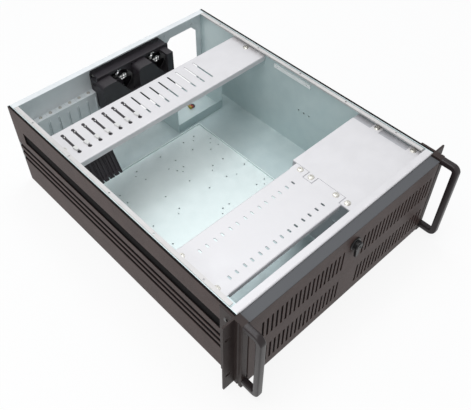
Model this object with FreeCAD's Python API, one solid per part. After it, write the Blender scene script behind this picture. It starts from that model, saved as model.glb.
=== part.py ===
import FreeCAD, Part
import math
import os

# Empty 4U rackmount server case with its top cover off, in millimetres.
# Working frame: X to the right seen from the front, Y towards the back with 0 at the back face of the rack
# ears,
# Z up from the standing surface. The last lines move it so that Y is 0 at the middle of the whole part.

# overall sizes and sheet metal
rack_width = 482.6
case_height = 176.0
body_depth = 558.0
sheet = 1.2
bend_radius = 1.0
fit_gap = 0.4
bore_gap = 0.06

# rack ears and handles
ear_reach = 20.1
ear_thickness = 3.0
ear_block_width = 11.6
ear_block_depth = 18.0
ear_leg_depth = 25.8
ear_corner = 1.5
ear_groove_depth = 1.4
ear_groove_half = 1.6
rack_slot_inset = 8.75
rack_hole_rise = 101.6
rack_slot_width = 6.8
rack_slot_length = 10.3
handle_reach = 33.0
handle_bar = 11.0
handle_width = 11.2
handle_bottom = 10.0
handle_corner = 13.0
handle_inner_corner = 4.0
handle_chamfer = 1.6
handle_screw_radius = 2.5
handle_screw_head_radius = 4.2
handle_screw_head_height = 3.4
handle_screw_bite = 12.6
socket_radius = 2.0
ear_screw_radius = 1.9
ear_screw_head_radius = 3.8
ear_screw_head_height = 1.6
ear_screw_inset = 20.0

# painted side skins
skin_sheet = 1.0
skin_gap = 3.0
rail_groove_drop = 41.0
rail_groove_height = 25.0
rail_groove_front = 26.5
rail_groove_rear_margin = 31.0
rail_groove_corner = 1.5
bead_count = 3
bead_pitch = 16.0
bead_drop = 56.0
bead_height = 10.0
bead_depth = 2.2

# tub, rims and wall holes
rim_width = 8.0
rim_leg_height = 8.8
rim_front_gap = 3.0
lid_hole_count = 5
lid_hole_radius = 1.6
rear_flange_depth = 13.0
rear_flange_drop = 4.8
front_flange_depth = 12.7
wall_hole_radius = 1.7
wall_hole_height = 90.0
wall_hole_pitch = 13.0
wall_hole_count = 3

# door
door_side_gap = 1.1
door_depth = 17.4
door_sheet = 1.6
door_bottom = 3.4
door_top_drop = 3.5
door_gap = 0.6
door_edge_radius = 1.2
hinge_forward = 11.0
hinge_height = 11.4
hinge_pin_radius = 2.0
hinge_pin_length = 6.6
hinge_pin_seat = 2.8
vent_width = 4.0
vent_height = 45.0
vent_pitch = 9.2
vent_row_low = 22.0
vent_row_drop = 79.0
vent_gap_left = 21.4
vent_gap_right = 22.5
vent_margin_left = 24.5
vent_margin_right = 9.4
filter_thickness = 1.2
filter_margin = 4.0

# door latch, placed from the drive cage
latch_inset = 42.0
latch_drop = 32.0
latch_bezel_radius = 11.0
latch_bezel_thickness = 2.4
latch_bezel_edge = 1.0
latch_sleeve_radius = 8.0
latch_sleeve_length = 9.0
latch_nut_wall = 2.5
latch_nut_height = 3.0
latch_shaft_radius = 4.0
latch_flat = 2.8
latch_boss_radius = 7.6
latch_boss_length = 7.0
latch_boss_edge = 1.5
latch_lever_length = 25.0
latch_lever_root = 10.0
latch_lever_tip = 6.0
latch_lever_thickness = 4.0
latch_float = 0.2
latch_cam_length = 22.0
latch_cam_width = 8.0
latch_cam_thickness = 2.0
latch_window_half_width = 7.0
key_slot_radius = 1.6
key_slot_length = 3.6
latch_sides = 24

# front panel
bay_count = 3
bay_pitch = 42.3
bay_top_gap = 3.9
bay_gap = 0.3
blank_thickness = 2.4
blank_rim_depth = 7.0
blank_wall = 1.6
blank_chamfer = 0.8
grip_inset = 8.0
grip_height = 3.0
grip_depth = 1.4
button_inset = 25.0
power_button_drop = 20.0
reset_button_drop = 56.0
lamp_drop = 41.0
lamp_pitch = 5.0
lamp_count = 2
lamp_window_radius = 1.8
power_button_radius = 6.0
reset_button_radius = 4.0
button_reach = 4.0
button_travel = 2.5
button_flange = 1.6
button_edge = 0.8
button_stem = 2.0
lamp_radius = 1.5
lamp_dome = 1.2
switch_block_size = 18.0
switch_block_depth = 12.0
intake_pitch = 9.2
intake_width = 4.0
intake_bottom = 36.0
intake_drop = 36.0
intake_latch_gap = 30.6

# shelf level shared by the hold-down bar, the drive tray and the cage cover
shelf_drop = 11.0
ledge_width = 15.0
ledge_leg = 21.0
screw_shank_radius = 1.9
screw_head_radius = 4.5
screw_head_height = 1.9
washer_radius = 5.5
washer_thickness = 0.9
screw_length = 6.0
cross_length = 4.4
cross_width = 1.0
cross_depth = 1.0

# hold-down bar with its swinging card arms
bar_rear_gap = 101.0
bar_depth = 86.0
bar_flange = 10.5
bar_slot_count = 15
slot_pitch = 20.32
bar_slot_inset = 26.7
bar_slot_start = 19.5
bar_slot_length = 56.0
bar_slot_width = 3.4
arm_slot_width = 4.2
bar_eye_inset = 9.5
bar_eye_radius = 3.0
bar_tail_radius = 2.9
bar_mouth_radius = 3.4
arm_count = 7
arms_down = 3
arm_width = 19.6
arm_thickness = 8.0
arm_length = 54.0
arm_down_angle = 28.7
arm_pivot_start = 17.0
arm_pivot_drop = 9.5
arm_pin_radius = 1.6
arm_knuckle_width = 11.4
arm_knuckle_radius = 3.6
arm_start = 5.4
arm_groove_width = 3.6
arm_groove_depth = 1.6
arm_notch_width = 3.2
arm_notch_height = 4.6
guide_width = 16.0
guide_ear = 2.1
guide_height = 5.0
guide_length = 66.0
guide_rib_rise = 0.7
guide_rib_gap = 0.15
eye_peg_radius = 1.2
eye_peg_depth = 3.0
thumb_length = 10.0
thumb_width = 7.6
thumb_tip_width = 4.6
thumb_rise = 3.2
thumb_inset = 11.6
thumb_post_radius = 1.3

# expansion slots in the rear wall
cover_count = 7
cover_width = 18.4
cover_inset = 12.1
cover_sheet = 0.9
cover_return = 3.3
cover_low = 7.0
slot_shelf_drop = 51.5
slot_recess = 13.0
slot_recess_margin = 8.0
slot_recess_edge = 1.2
slot_recess_bottom = 4.0
slot_mouth_width = 13.0
slot_mouth_low = 12.0
slot_mouth_drop = 8.5
cover_screw_head_radius = 3.2
cover_screw_head_height = 1.3
cover_screw_radius = 1.5

# rear openings
psu_margin = 12.5
psu_width = 78.5
psu_low = 12.0
psu_drop = 29.5
psu_chamfer = 12.0
psu_screw_outset = 4.0
psu_screw_radius = 1.8
dimple_radius = 2.2
dimple_rise = 0.9
dimple_left_drop = 19.5
dimple_right_drop = 23.5
dimple_right_inset = 24.0
io_gap = 8.66
io_width = 158.75
io_height = 44.45
io_low = 9.0

# fans
fan_count = 2
fan_size = 80.0
fan_depth = 25.0
fan_bore_radius = 38.0
fan_corner = 4.0
fan_gap = 0.4
fan_recess_gap = 0.26
fan_top_drop = 15.0
fan_hole_pitch = 71.5
fan_hole_radius = 2.15
fan_flange = 4.0
fan_waist = 12.0
fan_spoke_count = 4
fan_spoke_width = 2.4
fan_spider_depth = 3.0
fan_hub_radius = 17.0
fan_hub_edge = 1.5
fan_hub_wall = 5.0
fan_blade_count = 7
fan_blade_cover = 0.97
fan_root_pitch = 46.0
fan_tip_pitch = 26.0
fan_blade_thickness = 1.2
fan_tip_gap = 1.2
fan_rotor_inset = 2.0
fan_rotor_margin = 8.0
fan_axle_radius = 1.5
holder_wall = 2.4
holder_margin = 1.6
holder_skirt_reach = 23.0
holder_skirt_height = 42.0
holder_foot = 3.0
holder_corner = 3.0
holder_clip_half = 20.0
holder_clip_depth = 21.0
hood_offset = 45.4
hood_top = 31.0
hood_foot = 59.0
hood_drop = 5.4
hood_corner = 9.0
post_offset = 35.6
post_width = 14.0
guard_ring_count = 4
guard_first_ring = 11.2
guard_ring_pitch = 8.64
guard_wire = 1.8
guard_thickness = 1.5
guard_eye_radius = 4.2
guard_sides = 24
fan_screw_radius = 2.0
fan_screw_head_radius = 3.8
fan_screw_head_height = 1.8
fan_screw_bite = 9.0

# drive tray and drive cage
tray_front = 34.0
tray_depth = 104.5
tray_flange = 9.0
tray_lip = 6.0
tray_relief = 4.0
tray_ledge_overrun = 10.0
tray_slot_pairs = 7
tray_pair_pitch = 29.4
tray_pair_gap = 13.8
tray_slot_inset = 36.0
tray_slot_length = 7.4
tray_slot_width = 3.4
tray_slot_row = 19.0
tray_row_spacing = 60.5
tray_screw_row = 18.0
tray_screw_inset = 13.5
tray_screw_edge = 3.5
cage_wall_gap = 15.5
cage_inner_width = 146.1
cage_depth = 146.0
cage_floor_drop = 11.0
cage_flange = 16.0
cage_foot_flange = 9.0
cage_slot_front = 50.0
cage_slot_spacing = 79.0
cage_slot_length = 10.0
cage_slot_height = 3.4
drive_hole_low = 10.0
drive_hole_high = 21.8
cage_window_margin = 20.0
tab_depth = 17.0
tab_front_start = 21.0
tab_rear_start = 94.0
tab_screw_inset = 7.0
cover_front = 4.0
cover_corner = 2.0
cover_front_tab = 29.0

# floor furniture
board_inset = 8.0
board_width = 315.0
board_rear_gap = 107.0
board_length = 301.0
board_lift = 3.0
board_rim = 4.0
board_hole_radius = 1.6
board_columns = (11.5, 32.0, 59.0, 102.5, 118.0, 176.0, 236.0, 287.0)
board_rows = (20.0, 47.5, 71.0, 107.0, 146.0, 200.0, 258.0)
board_twin_shift = 9.0
cradle_wall_gap = 29.0
cradle_width = 119.0
cradle_rear_gap = 37.0
cradle_depth = 60.0
cradle_side = 63.0
cradle_lip = 20.0
cradle_slope_start = 30.0
cradle_hole_radius = 1.8
cradle_hole_inset = 8.0
plug_width = 12.0
plug_depth = 7.0
plug_height = 5.0
plug_inset = 43.0
plug_back = 38.0
plug_lead_count = 3
plug_lead_length = 5.0
plug_lead_size = 1.8

# strip on the right wall
strip_rear_gap = 212.0
strip_length = 90.0
strip_drop = 23.0
strip_height = 8.0
strip_thickness = 2.0
strip_hole_radius = 1.5
strip_hole_inset = 9.0

# flats on small round parts, and how far cutters run past the sheet they cut
hole_sides = 8
screw_sides = 12
past = 1.0

inner_half_width = rack_width / 2 - ear_reach - ear_thickness - skin_sheet - skin_gap - sheet
wall_outer = inner_half_width + sheet
skin_face = wall_outer + skin_gap + skin_sheet
ear_outer = skin_face + ear_thickness
block_inner = ear_outer - ear_block_width
handle_centre = ear_outer - ear_block_width / 2
handle_front = -ear_block_depth - handle_reach
rail_groove_high = case_height - rail_groove_drop
rail_groove_low = rail_groove_high - rail_groove_height
bead_bottom = rail_groove_low - bead_drop
rear_inside = body_depth - sheet
shelf_top = case_height - shelf_drop
shelf_under = shelf_top - sheet
door_half_width = block_inner - door_side_gap
door_top = case_height - door_top_drop
door_front = -door_gap - door_depth
vent_row_high = case_height - vent_row_drop
cage_right = inner_half_width - cage_wall_gap
cage_left = cage_right - cage_inner_width - 2 * sheet
bay_bottom = shelf_under - bay_top_gap - bay_count * bay_pitch
cage_floor = bay_bottom - cage_floor_drop
latch_x = cage_left - latch_inset
latch_z = case_height - latch_drop
button_x = cage_left - button_inset
power_button_z = latch_z - power_button_drop
reset_button_z = latch_z - reset_button_drop
lamp_window_z = latch_z - lamp_drop
bar_rear = body_depth - bar_rear_gap
bar_front = bar_rear - bar_depth
bar_slot_front = bar_front + bar_slot_start
bar_slot_rear = bar_slot_front + bar_slot_length
bar_eye_y = bar_slot_rear - bar_eye_inset
bar_half_length = inner_half_width - 2 * fit_gap
arm_pivot_y = bar_front + arm_pivot_start
arm_pivot_z = shelf_under - arm_pivot_drop
guide_front = arm_pivot_y - arm_knuckle_radius - past
thumb_y = bar_slot_front + thumb_inset
cover_first_edge = -inner_half_width + cover_inset
slot_wall_y = body_depth - slot_recess
slot_shelf_z = case_height - slot_shelf_drop
slot_mouth_high = slot_shelf_z - slot_mouth_drop
cover_screw_y = slot_wall_y + slot_recess / 2 - sheet / 2
recess_left = cover_first_edge - slot_recess_margin
recess_right = cover_first_edge + cover_count * slot_pitch + slot_recess_edge
psu_right = inner_half_width - psu_margin
psu_left = psu_right - psu_width
psu_high = case_height - psu_drop
io_left = cover_first_edge + cover_count * slot_pitch + io_gap
fan_first_left = recess_right + sheet + fan_recess_gap
fan_centres = [fan_first_left + fan_size / 2 + i * (fan_size + fan_gap) for i in range(fan_count)]
fan_top = case_height - fan_top_drop
fan_z = fan_top - fan_size / 2
fan_front = rear_inside - fan_depth
rotor_front = fan_front + fan_rotor_inset
rotor_length = fan_depth - fan_rotor_margin
tray_left = -inner_half_width + 2 * fit_gap
tray_rear = tray_front + tray_depth
tray_right = cage_left - 1.5 * fit_gap
board_left = -inner_half_width + board_inset
board_right = board_left + board_width
board_rear = body_depth - board_rear_gap
board_front = board_rear - board_length
cradle_right = inner_half_width - cradle_wall_gap
cradle_left = cradle_right - cradle_width
cradle_front = body_depth - cradle_rear_gap - cradle_depth
strip_front = body_depth - strip_rear_gap - strip_length
strip_low = case_height - strip_drop


def vec(x, y, z):
    return FreeCAD.Vector(x, y, z)


def box(x0, x1, y0, y1, z0, z1):
    return Part.makeBox(x1 - x0, y1 - y0, z1 - z0, vec(x0, y0, z0))


def rod(centre, direction, radius, length):
    return Part.makeCylinder(radius, length, centre, direction)


AXIS_X = vec(1, 0, 0)
AXIS_Y = vec(0, 1, 0)
AXIS_Z = vec(0, 0, 1)


def place(u, v, plane, at):
    """Point (u, v) of an outline on plane XY, YZ or XZ, at the given distance along the third axis."""
    if plane == "XY":
        return vec(u, v, at)
    if plane == "YZ":
        return vec(at, u, v)
    return vec(u, at, v)


def rounded_outline(corners, plane, at):
    """Closed wire through corners (u, v, radius), each corner rounded by its own radius."""
    edges = []
    starts = []
    ends = []
    mids = []
    total = len(corners)
    for i in range(total):
        before = corners[i - 1]
        corner = corners[i]
        after = corners[(i + 1) % total]
        here = FreeCAD.Vector(corner[0], corner[1], 0)
        back = FreeCAD.Vector(before[0], before[1], 0) - here
        ahead = FreeCAD.Vector(after[0], after[1], 0) - here
        radius = corner[2] if len(corner) > 2 else 0
        turn = back.getAngle(ahead)
        if radius <= 0 or turn > math.pi - 1e-6:
            starts.append(here)
            ends.append(here)
            mids.append(None)
            continue
        reach = radius / math.tan(turn / 2)
        reach = min(reach, 0.49 * back.Length, 0.49 * ahead.Length)
        radius = reach * math.tan(turn / 2)
        back.normalize()
        ahead.normalize()
        middle = back + ahead
        middle.normalize()
        centre = here + middle * (radius / math.sin(turn / 2))
        starts.append(here + back * reach)
        ends.append(here + ahead * reach)
        mids.append(centre - middle * radius)
    for i in range(total):
        if mids[i] is not None:
            bend = [place(p.x, p.y, plane, at) for p in (starts[i], mids[i], ends[i])]
            edges.append(Part.Arc(*bend).toShape())
        follow = (i + 1) % total
        if (starts[follow] - ends[i]).Length > 1e-6:
            first = place(ends[i].x, ends[i].y, plane, at)
            last = place(starts[follow].x, starts[follow].y, plane, at)
            edges.append(Part.LineSegment(first, last).toShape())
    return Part.Wire(edges)


def prism(corners, plane, at, length):
    """Solid of an outline, starting at the given place and running along the plane's positive normal."""
    face = Part.Face(rounded_outline(corners, plane, at))
    along = {"XY": vec(0, 0, length), "YZ": vec(length, 0, 0), "XZ": vec(0, length, 0)}[plane]
    return face.extrude(along)


def rectangle(u0, u1, v0, v1, radius=0):
    return [(u0, v0, radius), (u1, v0, radius), (u1, v1, radius), (u0, v1, radius)]


def folded(path, thickness, side, inner_radius):
    """Outline of a folded sheet: path is one face, and the sheet lies on its right (-1) or left (1)."""
    count = len(path)
    points = [FreeCAD.Vector(u, v, 0) for u, v in path]
    headings = []
    for i in range(count - 1):
        step = points[i + 1] - points[i]
        step.normalize()
        headings.append(step)
    near = []
    far = []
    for i in range(count):
        before = headings[max(i - 1, 0)]
        after = headings[min(i, count - 2)]
        normal_before = FreeCAD.Vector(-before.y, before.x, 0) * side
        normal_after = FreeCAD.Vector(-after.y, after.x, 0) * side
        middle = normal_before + normal_after
        middle.normalize()
        shift = middle * (thickness / middle.dot(normal_after))
        bend = before.x * after.y - before.y * after.x
        near_radius = inner_radius
        far_radius = inner_radius + thickness
        if abs(bend) < 1e-9 or inner_radius == 0:
            near_radius = 0
            far_radius = 0
        elif bend * side > 0:
            near_radius, far_radius = far_radius, near_radius
        near.append((points[i].x, points[i].y, near_radius))
        far.append((points[i].x + shift.x, points[i].y + shift.y, far_radius))
    return near + far[::-1]


def fuse(first, *others):
    shape = first.fuse(list(others))
    return shape.removeSplitter()


def cut(shape, *tools):
    return shape.cut(list(tools))


def mirrored(shape):
    return shape.mirror(vec(0, 0, 0), AXIS_X)


def group(shapes):
    return Part.makeCompound(shapes)


def polygon(radius, sides):
    """Corners of a regular polygon with one flat facing the second axis."""
    step = 2 * math.pi / sides
    return [(radius * math.cos(step * (i + 0.5)),
             radius * math.sin(step * (i + 0.5))) for i in range(sides)]


def peg(centre, direction, radius, length, sides):
    """Straight many-sided rod with its corners on the radius."""
    shape = prism(polygon(radius, sides), "XY", 0, length)
    shape.Placement = FreeCAD.Placement(centre, FreeCAD.Rotation(AXIS_Z, direction))
    return shape


def hole(centre, direction, radius, length, sides=hole_sides):
    """Many-sided cutter that keeps the whole radius clear."""
    return peg(centre, direction, radius / math.cos(math.pi / sides), length, sides)


def flat_sided(profile, centre, direction, sides):
    """Solid of (radius, distance) points carried round an axis in equal flats, corners on the radii."""
    ring = polygon(1, sides)
    faces = []
    for i in range(len(profile)):
        near_radius, near = profile[i - 1]
        far_radius, far = profile[i]
        if near_radius == 0 and far_radius == 0:
            continue
        for k in range(sides):
            corners = []
            for radius, distance, spoke in ((near_radius, near, ring[k - 1]), (near_radius, near, ring[k]),
                                            (far_radius, far, ring[k]), (far_radius, far, ring[k - 1])):
                point = vec(radius * spoke[0], radius * spoke[1], distance)
                if all((point - other).Length > 1e-6 for other in corners):
                    corners.append(point)
            faces.append(Part.Face(Part.makePolygon(corners + [corners[0]])))
    shell = Part.Shell(faces)
    shell.sewShape()
    solid = Part.Solid(shell)
    if solid.Volume < 0:
        solid.reverse()
    solid = solid.removeSplitter()
    solid.Placement = FreeCAD.Placement(centre, FreeCAD.Rotation(AXIS_Z, direction))
    return solid


def turned(profile, centre, direction):
    """Solid of revolution of (radius, distance) points about an axis, for parts that turn or slide."""
    points = [vec(r, 0, d) for r, d in profile]
    face = Part.Face(Part.makePolygon(points + [points[0]]))
    solid = face.revolve(vec(0, 0, 0), AXIS_Z, 360)
    solid.Placement = FreeCAD.Placement(centre, FreeCAD.Rotation(AXIS_Z, direction))
    return solid


def slot_cut(cx, cy, length, width):
    """Cutter for a slot along Y through the shelf sheet, its ends cut to three flats."""
    half = width / 2
    shoulder = half * math.tan(math.pi / 8)
    end = length / 2
    start = end - half + shoulder
    outline = []
    for u, v in ((-half, start), (-shoulder, end), (shoulder, end), (half, start)):
        outline.append((cx + u, cy + v))
    for u, v in ((half, -start), (shoulder, -end), (-shoulder, -end), (-half, -start)):
        outline.append((cx + u, cy + v))
    return prism(outline, "XY", shelf_under - past, sheet + 2 * past)


def stand(shape, centre, direction, turn=0):
    """Turn a shape drawn round the Z axis by an angle, point that axis along a direction and move it."""
    spin = FreeCAD.Placement(vec(0, 0, 0), FreeCAD.Rotation(AXIS_Z, turn))
    stood = FreeCAD.Placement(centre, FreeCAD.Rotation(AXIS_Z, direction))
    shape.Placement = stood.multiply(spin)
    return shape


def ear_screw_heights():
    return [ear_screw_inset, case_height / 2, case_height - ear_screw_inset]


def ear_screw_y():
    return ear_leg_depth / 2


def bay_opening(i):
    low = bay_bottom + i * bay_pitch
    return low, low + bay_pitch


def cover_middle(i):
    return cover_first_edge + slot_pitch * (i + 0.5)


def fan_hole_places(x):
    half = fan_hole_pitch / 2
    return [(x + sx * half, fan_z + sz * half) for sx in (-1, 1) for sz in (-1, 1)]


def rack_slot_heights():
    return [case_height / 2 - rack_hole_rise / 2, case_height / 2 + rack_hole_rise / 2]


def handle_arm_heights():
    return [handle_bottom + handle_bar / 2, case_height - handle_bar / 2]


def wall_hole_places():
    first = strip_front + strip_length / 4
    return [first - i * wall_hole_pitch for i in range(wall_hole_count)]


def chassis_tub():
    path = [(-inner_half_width, case_height), (-inner_half_width, sheet), (inner_half_width, sheet),
            (inner_half_width, case_height)]
    outline = folded(path, sheet, -1, bend_radius)
    tub = prism(outline, "XZ", 0, rear_inside)
    tools = []
    for z in ear_screw_heights():
        tools.append(hole(vec(-wall_outer - past, ear_screw_y(), z), AXIS_X, ear_screw_radius + bore_gap,
                          2 * (wall_outer + past)))
    for y in wall_hole_places():
        tools.append(hole(vec(inner_half_width - past, y, wall_hole_height), AXIS_X, wall_hole_radius,
                          sheet + 2 * past))
    return cut(tub, *tools)


def side_skin():
    """Right-hand skin: the deep slide-rail groove, three pressed beads and a top edge turned in."""
    path = [(skin_face, 0)]
    for i in range(bead_count):
        low = bead_bottom + i * bead_pitch
        path.append((skin_face, low))
        path.append((skin_face - bead_depth, low + bead_depth))
        path.append((skin_face - bead_depth, low + bead_height))
        path.append((skin_face, low + bead_height))
    path.append((skin_face, case_height))
    path.append((wall_outer, case_height))
    skin = prism(folded(path, skin_sheet, 1, 0), "XZ", 0, rear_inside)
    groove_rear = body_depth - rail_groove_rear_margin
    mouth = box(wall_outer - past, skin_face + past, rail_groove_front, groove_rear, rail_groove_low,
                rail_groove_high)
    outer = prism(rectangle(rail_groove_front - skin_sheet, groove_rear + skin_sheet,
                            rail_groove_low - skin_sheet,
                            rail_groove_high + skin_sheet, rail_groove_corner), "YZ", wall_outer,
                  skin_face - wall_outer)
    inner = prism(rectangle(rail_groove_front, groove_rear, rail_groove_low, rail_groove_high,
                            rail_groove_corner),
                  "YZ", wall_outer + skin_sheet, skin_face - wall_outer)
    skin = fuse(cut(skin, mouth), cut(outer, inner))
    # short returns at both ends close the gap between skin and wall
    ends = [box(wall_outer, skin_face - skin_sheet / 2, y, y + skin_sheet, 0, bead_bottom - skin_sheet)
            for y in (0, rear_inside - skin_sheet)]
    skin = fuse(skin, *ends)
    tools = [hole(vec(wall_outer - past, ear_screw_y(), z), AXIS_X, ear_screw_radius + bore_gap,
                  skin_face - wall_outer + 2 * past) for z in ear_screw_heights()]
    return cut(skin, *tools)


def top_rail():
    """Right-hand angle inside the wall top, where the lid would be screwed."""
    inner = inner_half_width - rim_width
    path = [(inner, case_height), (inner_half_width, case_height),
            (inner_half_width, case_height - sheet - rim_leg_height)]
    outline = folded(path, sheet, -1, bend_radius)
    start = front_flange_depth + rim_front_gap
    end = body_depth - rear_flange_depth - fit_gap
    rail = prism(outline, "XZ", start, end - start)
    step = (end - start) / lid_hole_count
    tools = [hole(vec(inner + rim_width / 2, start + step * (i + 0.5), case_height - sheet - past), AXIS_Z,
                  lid_hole_radius, sheet + 2 * past) for i in range(lid_hole_count)]
    return cut(rail, *tools)


def intake_places():
    """Left edges of the tall intake slots, from the door's left vents towards the latch."""
    first = vent_margin_left - door_half_width
    last = latch_x - intake_latch_gap - intake_width
    count = int((last - first) / intake_pitch) + 1
    return [first + i * intake_pitch for i in range(count)]


def front_panel():
    path = [(front_flange_depth, case_height), (0, case_height), (0, sheet)]
    outline = folded(path, sheet, 1, bend_radius)
    panel = prism(outline, "YZ", -inner_half_width, 2 * inner_half_width)
    left = cage_left + sheet
    high = bay_bottom + bay_count * bay_pitch
    near = -past
    far = sheet + past
    tools = [box(left, left + cage_inner_width, near, far, bay_bottom, high)]
    for x in intake_places():
        tools.append(box(x, x + intake_width, near, far, intake_bottom, case_height - intake_drop))
    tools.append(box(latch_x - latch_window_half_width, latch_x + latch_window_half_width, near, far,
                     latch_z - latch_cam_length - latch_cam_width / 2, latch_z + latch_cam_width))
    for z, radius in ((power_button_z, power_button_radius), (reset_button_z, reset_button_radius)):
        tools.append(rod(vec(button_x, near, z), AXIS_Y, radius + bore_gap, far - near))
    for z in lamp_heights():
        tools.append(hole(vec(button_x, near, z), AXIS_Y, lamp_radius + bore_gap, far - near))
    return cut(panel, *tools)


def lamp_heights():
    return [lamp_window_z + i * lamp_pitch for i in range(lamp_count)]


def eight_sided_opening():
    """Power supply opening: a rectangle with its four corners cut off."""
    return [(psu_left + psu_chamfer, psu_low), (psu_right - psu_chamfer, psu_low),
            (psu_right, psu_low + psu_chamfer), (psu_right, psu_high - psu_chamfer),
            (psu_right - psu_chamfer, psu_high), (psu_left + psu_chamfer, psu_high),
            (psu_left, psu_high - psu_chamfer), (psu_left, psu_low + psu_chamfer)]


def rear_panel():
    """Rear wall with its top flange, the card-slot recess, and openings for supply, connectors and fans."""
    wall = box(-skin_face, skin_face, rear_inside, body_depth, 0, case_height)
    low_edge = case_height - rear_flange_drop
    flange_path = [(body_depth - rear_flange_depth, case_height), (body_depth, case_height),
                   (body_depth, low_edge)]
    flange = prism(folded(flange_path, sheet, -1, bend_radius), "YZ", -inner_half_width,
                   2 * inner_half_width)
    wall = cut(wall, box(-inner_half_width, inner_half_width, rear_inside - past, body_depth + past,
                         low_edge,
                         case_height + past))
    near = rear_inside - past
    through = sheet + 2 * past
    hollow = box(recess_left, recess_right, slot_wall_y, body_depth + past, slot_recess_bottom,
                 slot_shelf_z - sheet)
    pan = box(recess_left - sheet, recess_right + sheet, slot_wall_y - sheet, body_depth,
              slot_recess_bottom - sheet, slot_shelf_z)
    wall = fuse(cut(fuse(wall, flange), hollow), cut(pan, hollow))
    dimples = [peg(vec(psu_left, rear_inside + sheet / 2, case_height - dimple_left_drop), vec(0, -1, 0),
                   dimple_radius, dimple_rise + sheet / 2, hole_sides),
               peg(vec(inner_half_width - dimple_right_inset, rear_inside + sheet / 2,
                       case_height - dimple_right_drop), vec(0, -1, 0),
                   dimple_radius, dimple_rise + sheet / 2, hole_sides)]
    wall = fuse(wall, *dimples)
    tools = []
    for i in range(cover_count):
        middle = cover_middle(i)
        tools.append(box(middle - slot_mouth_width / 2, middle + slot_mouth_width / 2,
                         slot_wall_y - sheet - past,
                         slot_wall_y + past, slot_mouth_low, slot_mouth_high))
        tools.append(hole(vec(middle, cover_screw_y, slot_shelf_z - sheet - past), AXIS_Z,
                          cover_screw_radius + bore_gap, through))
    tools.append(prism(eight_sided_opening(), "XZ", near, through))
    for x in (psu_left - psu_screw_outset, psu_right + psu_screw_outset):
        tools.append(hole(vec(x, near, psu_low), AXIS_Y, psu_screw_radius, through))
    tools.append(box(io_left, io_left + io_width, near, near + through, io_low, io_low + io_height))
    for x in fan_centres:
        tools.append(rod(vec(x, near, fan_z), AXIS_Y, fan_bore_radius, through))
        for u, v in fan_hole_places(x):
            tools.append(hole(vec(u, near, v), AXIS_Y, fan_hole_radius, through))
    return cut(wall, *tools)


def slot_cover(i):
    """Blank bracket: a tall channel with returned edges, and a tab folded back over the shelf."""
    middle = cover_middle(i)
    face = slot_wall_y - sheet
    path = [(face, cover_low), (face, slot_shelf_z), (rear_inside - fit_gap - sheet, slot_shelf_z)]
    cover = prism(folded(path, cover_sheet, 1, 0), "YZ", middle - cover_width / 2, cover_width)
    half = cover_width / 2
    returns = [box(x, x + cover_sheet, face - cover_return, face - cover_sheet / 2, cover_low,
                   slot_mouth_high)
               for x in (middle - half, middle + half - cover_sheet)]
    drill = hole(vec(middle, cover_screw_y, slot_shelf_z - past), AXIS_Z, cover_screw_radius + bore_gap,
                 cover_sheet + 2 * past)
    return cut(fuse(cover, *returns), drill)


def cover_screw(i):
    seat = slot_shelf_z + cover_sheet
    rise = cover_screw_head_height
    tip = -cover_sheet - sheet
    profile = [(0, tip), (cover_screw_radius, tip), (cover_screw_radius, 0), (cover_screw_head_radius, 0),
               (cover_screw_head_radius, rise / 2), (cover_screw_head_radius / 2, rise), (0, rise)]
    return flat_sided(profile, vec(cover_middle(i), cover_screw_y, seat), AXIS_Z, hole_sides)


def rack_ear():
    """Right-hand ear: one extrusion with the rack flange, the leg on the case side and the handle block."""
    front = -ear_block_depth
    back = -fit_gap / 2
    groove_y = front / 2 - ear_groove_half
    flange = rack_width / 2
    outline = [(skin_face, ear_leg_depth), (ear_outer, ear_leg_depth, ear_corner), (ear_outer, 0),
               (flange, 0), (flange, -ear_thickness), (ear_outer, -ear_thickness),
               (ear_outer, groove_y + ear_groove_half),
               (ear_outer - ear_groove_depth, groove_y), (ear_outer, groove_y - ear_groove_half),
               (ear_outer, front, ear_corner), (block_inner, front, ear_corner), (block_inner, back),
               (skin_face, back)]
    ear = prism(outline, "XY", 0, case_height)
    slot_x = flange - rack_slot_inset
    tools = []
    for z in rack_slot_heights():
        slot = prism(rectangle(slot_x - rack_slot_length / 2, slot_x + rack_slot_length / 2,
                               z - rack_slot_width / 2, z + rack_slot_width / 2, rack_slot_width / 2),
                     "XZ", -ear_thickness - past, ear_thickness + 2 * past)
        tools.append(slot)
    for z in ear_screw_heights():
        tools.append(hole(vec(skin_face - past, ear_screw_y(), z), AXIS_X, ear_screw_radius + bore_gap,
                          ear_thickness + 2 * past))
    for z in handle_arm_heights():
        tools.append(hole(vec(handle_centre, front - past, z), AXIS_Y, handle_screw_radius + bore_gap,
                          ear_block_depth + 2 * past, screw_sides))
        tools.append(hole(vec(handle_centre, screw_seat_y(), z), AXIS_Y,
                          handle_screw_head_radius + bore_gap,
                          past - screw_seat_y(), screw_sides))
    tools.append(rod(vec(block_inner - past, -hinge_forward, hinge_height), AXIS_X,
                     hinge_pin_radius + bore_gap,
                     past + hinge_pin_seat))
    return cut(ear, *tools)


def screw_seat_y():
    return -2 * fit_gap - handle_screw_head_height


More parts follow.
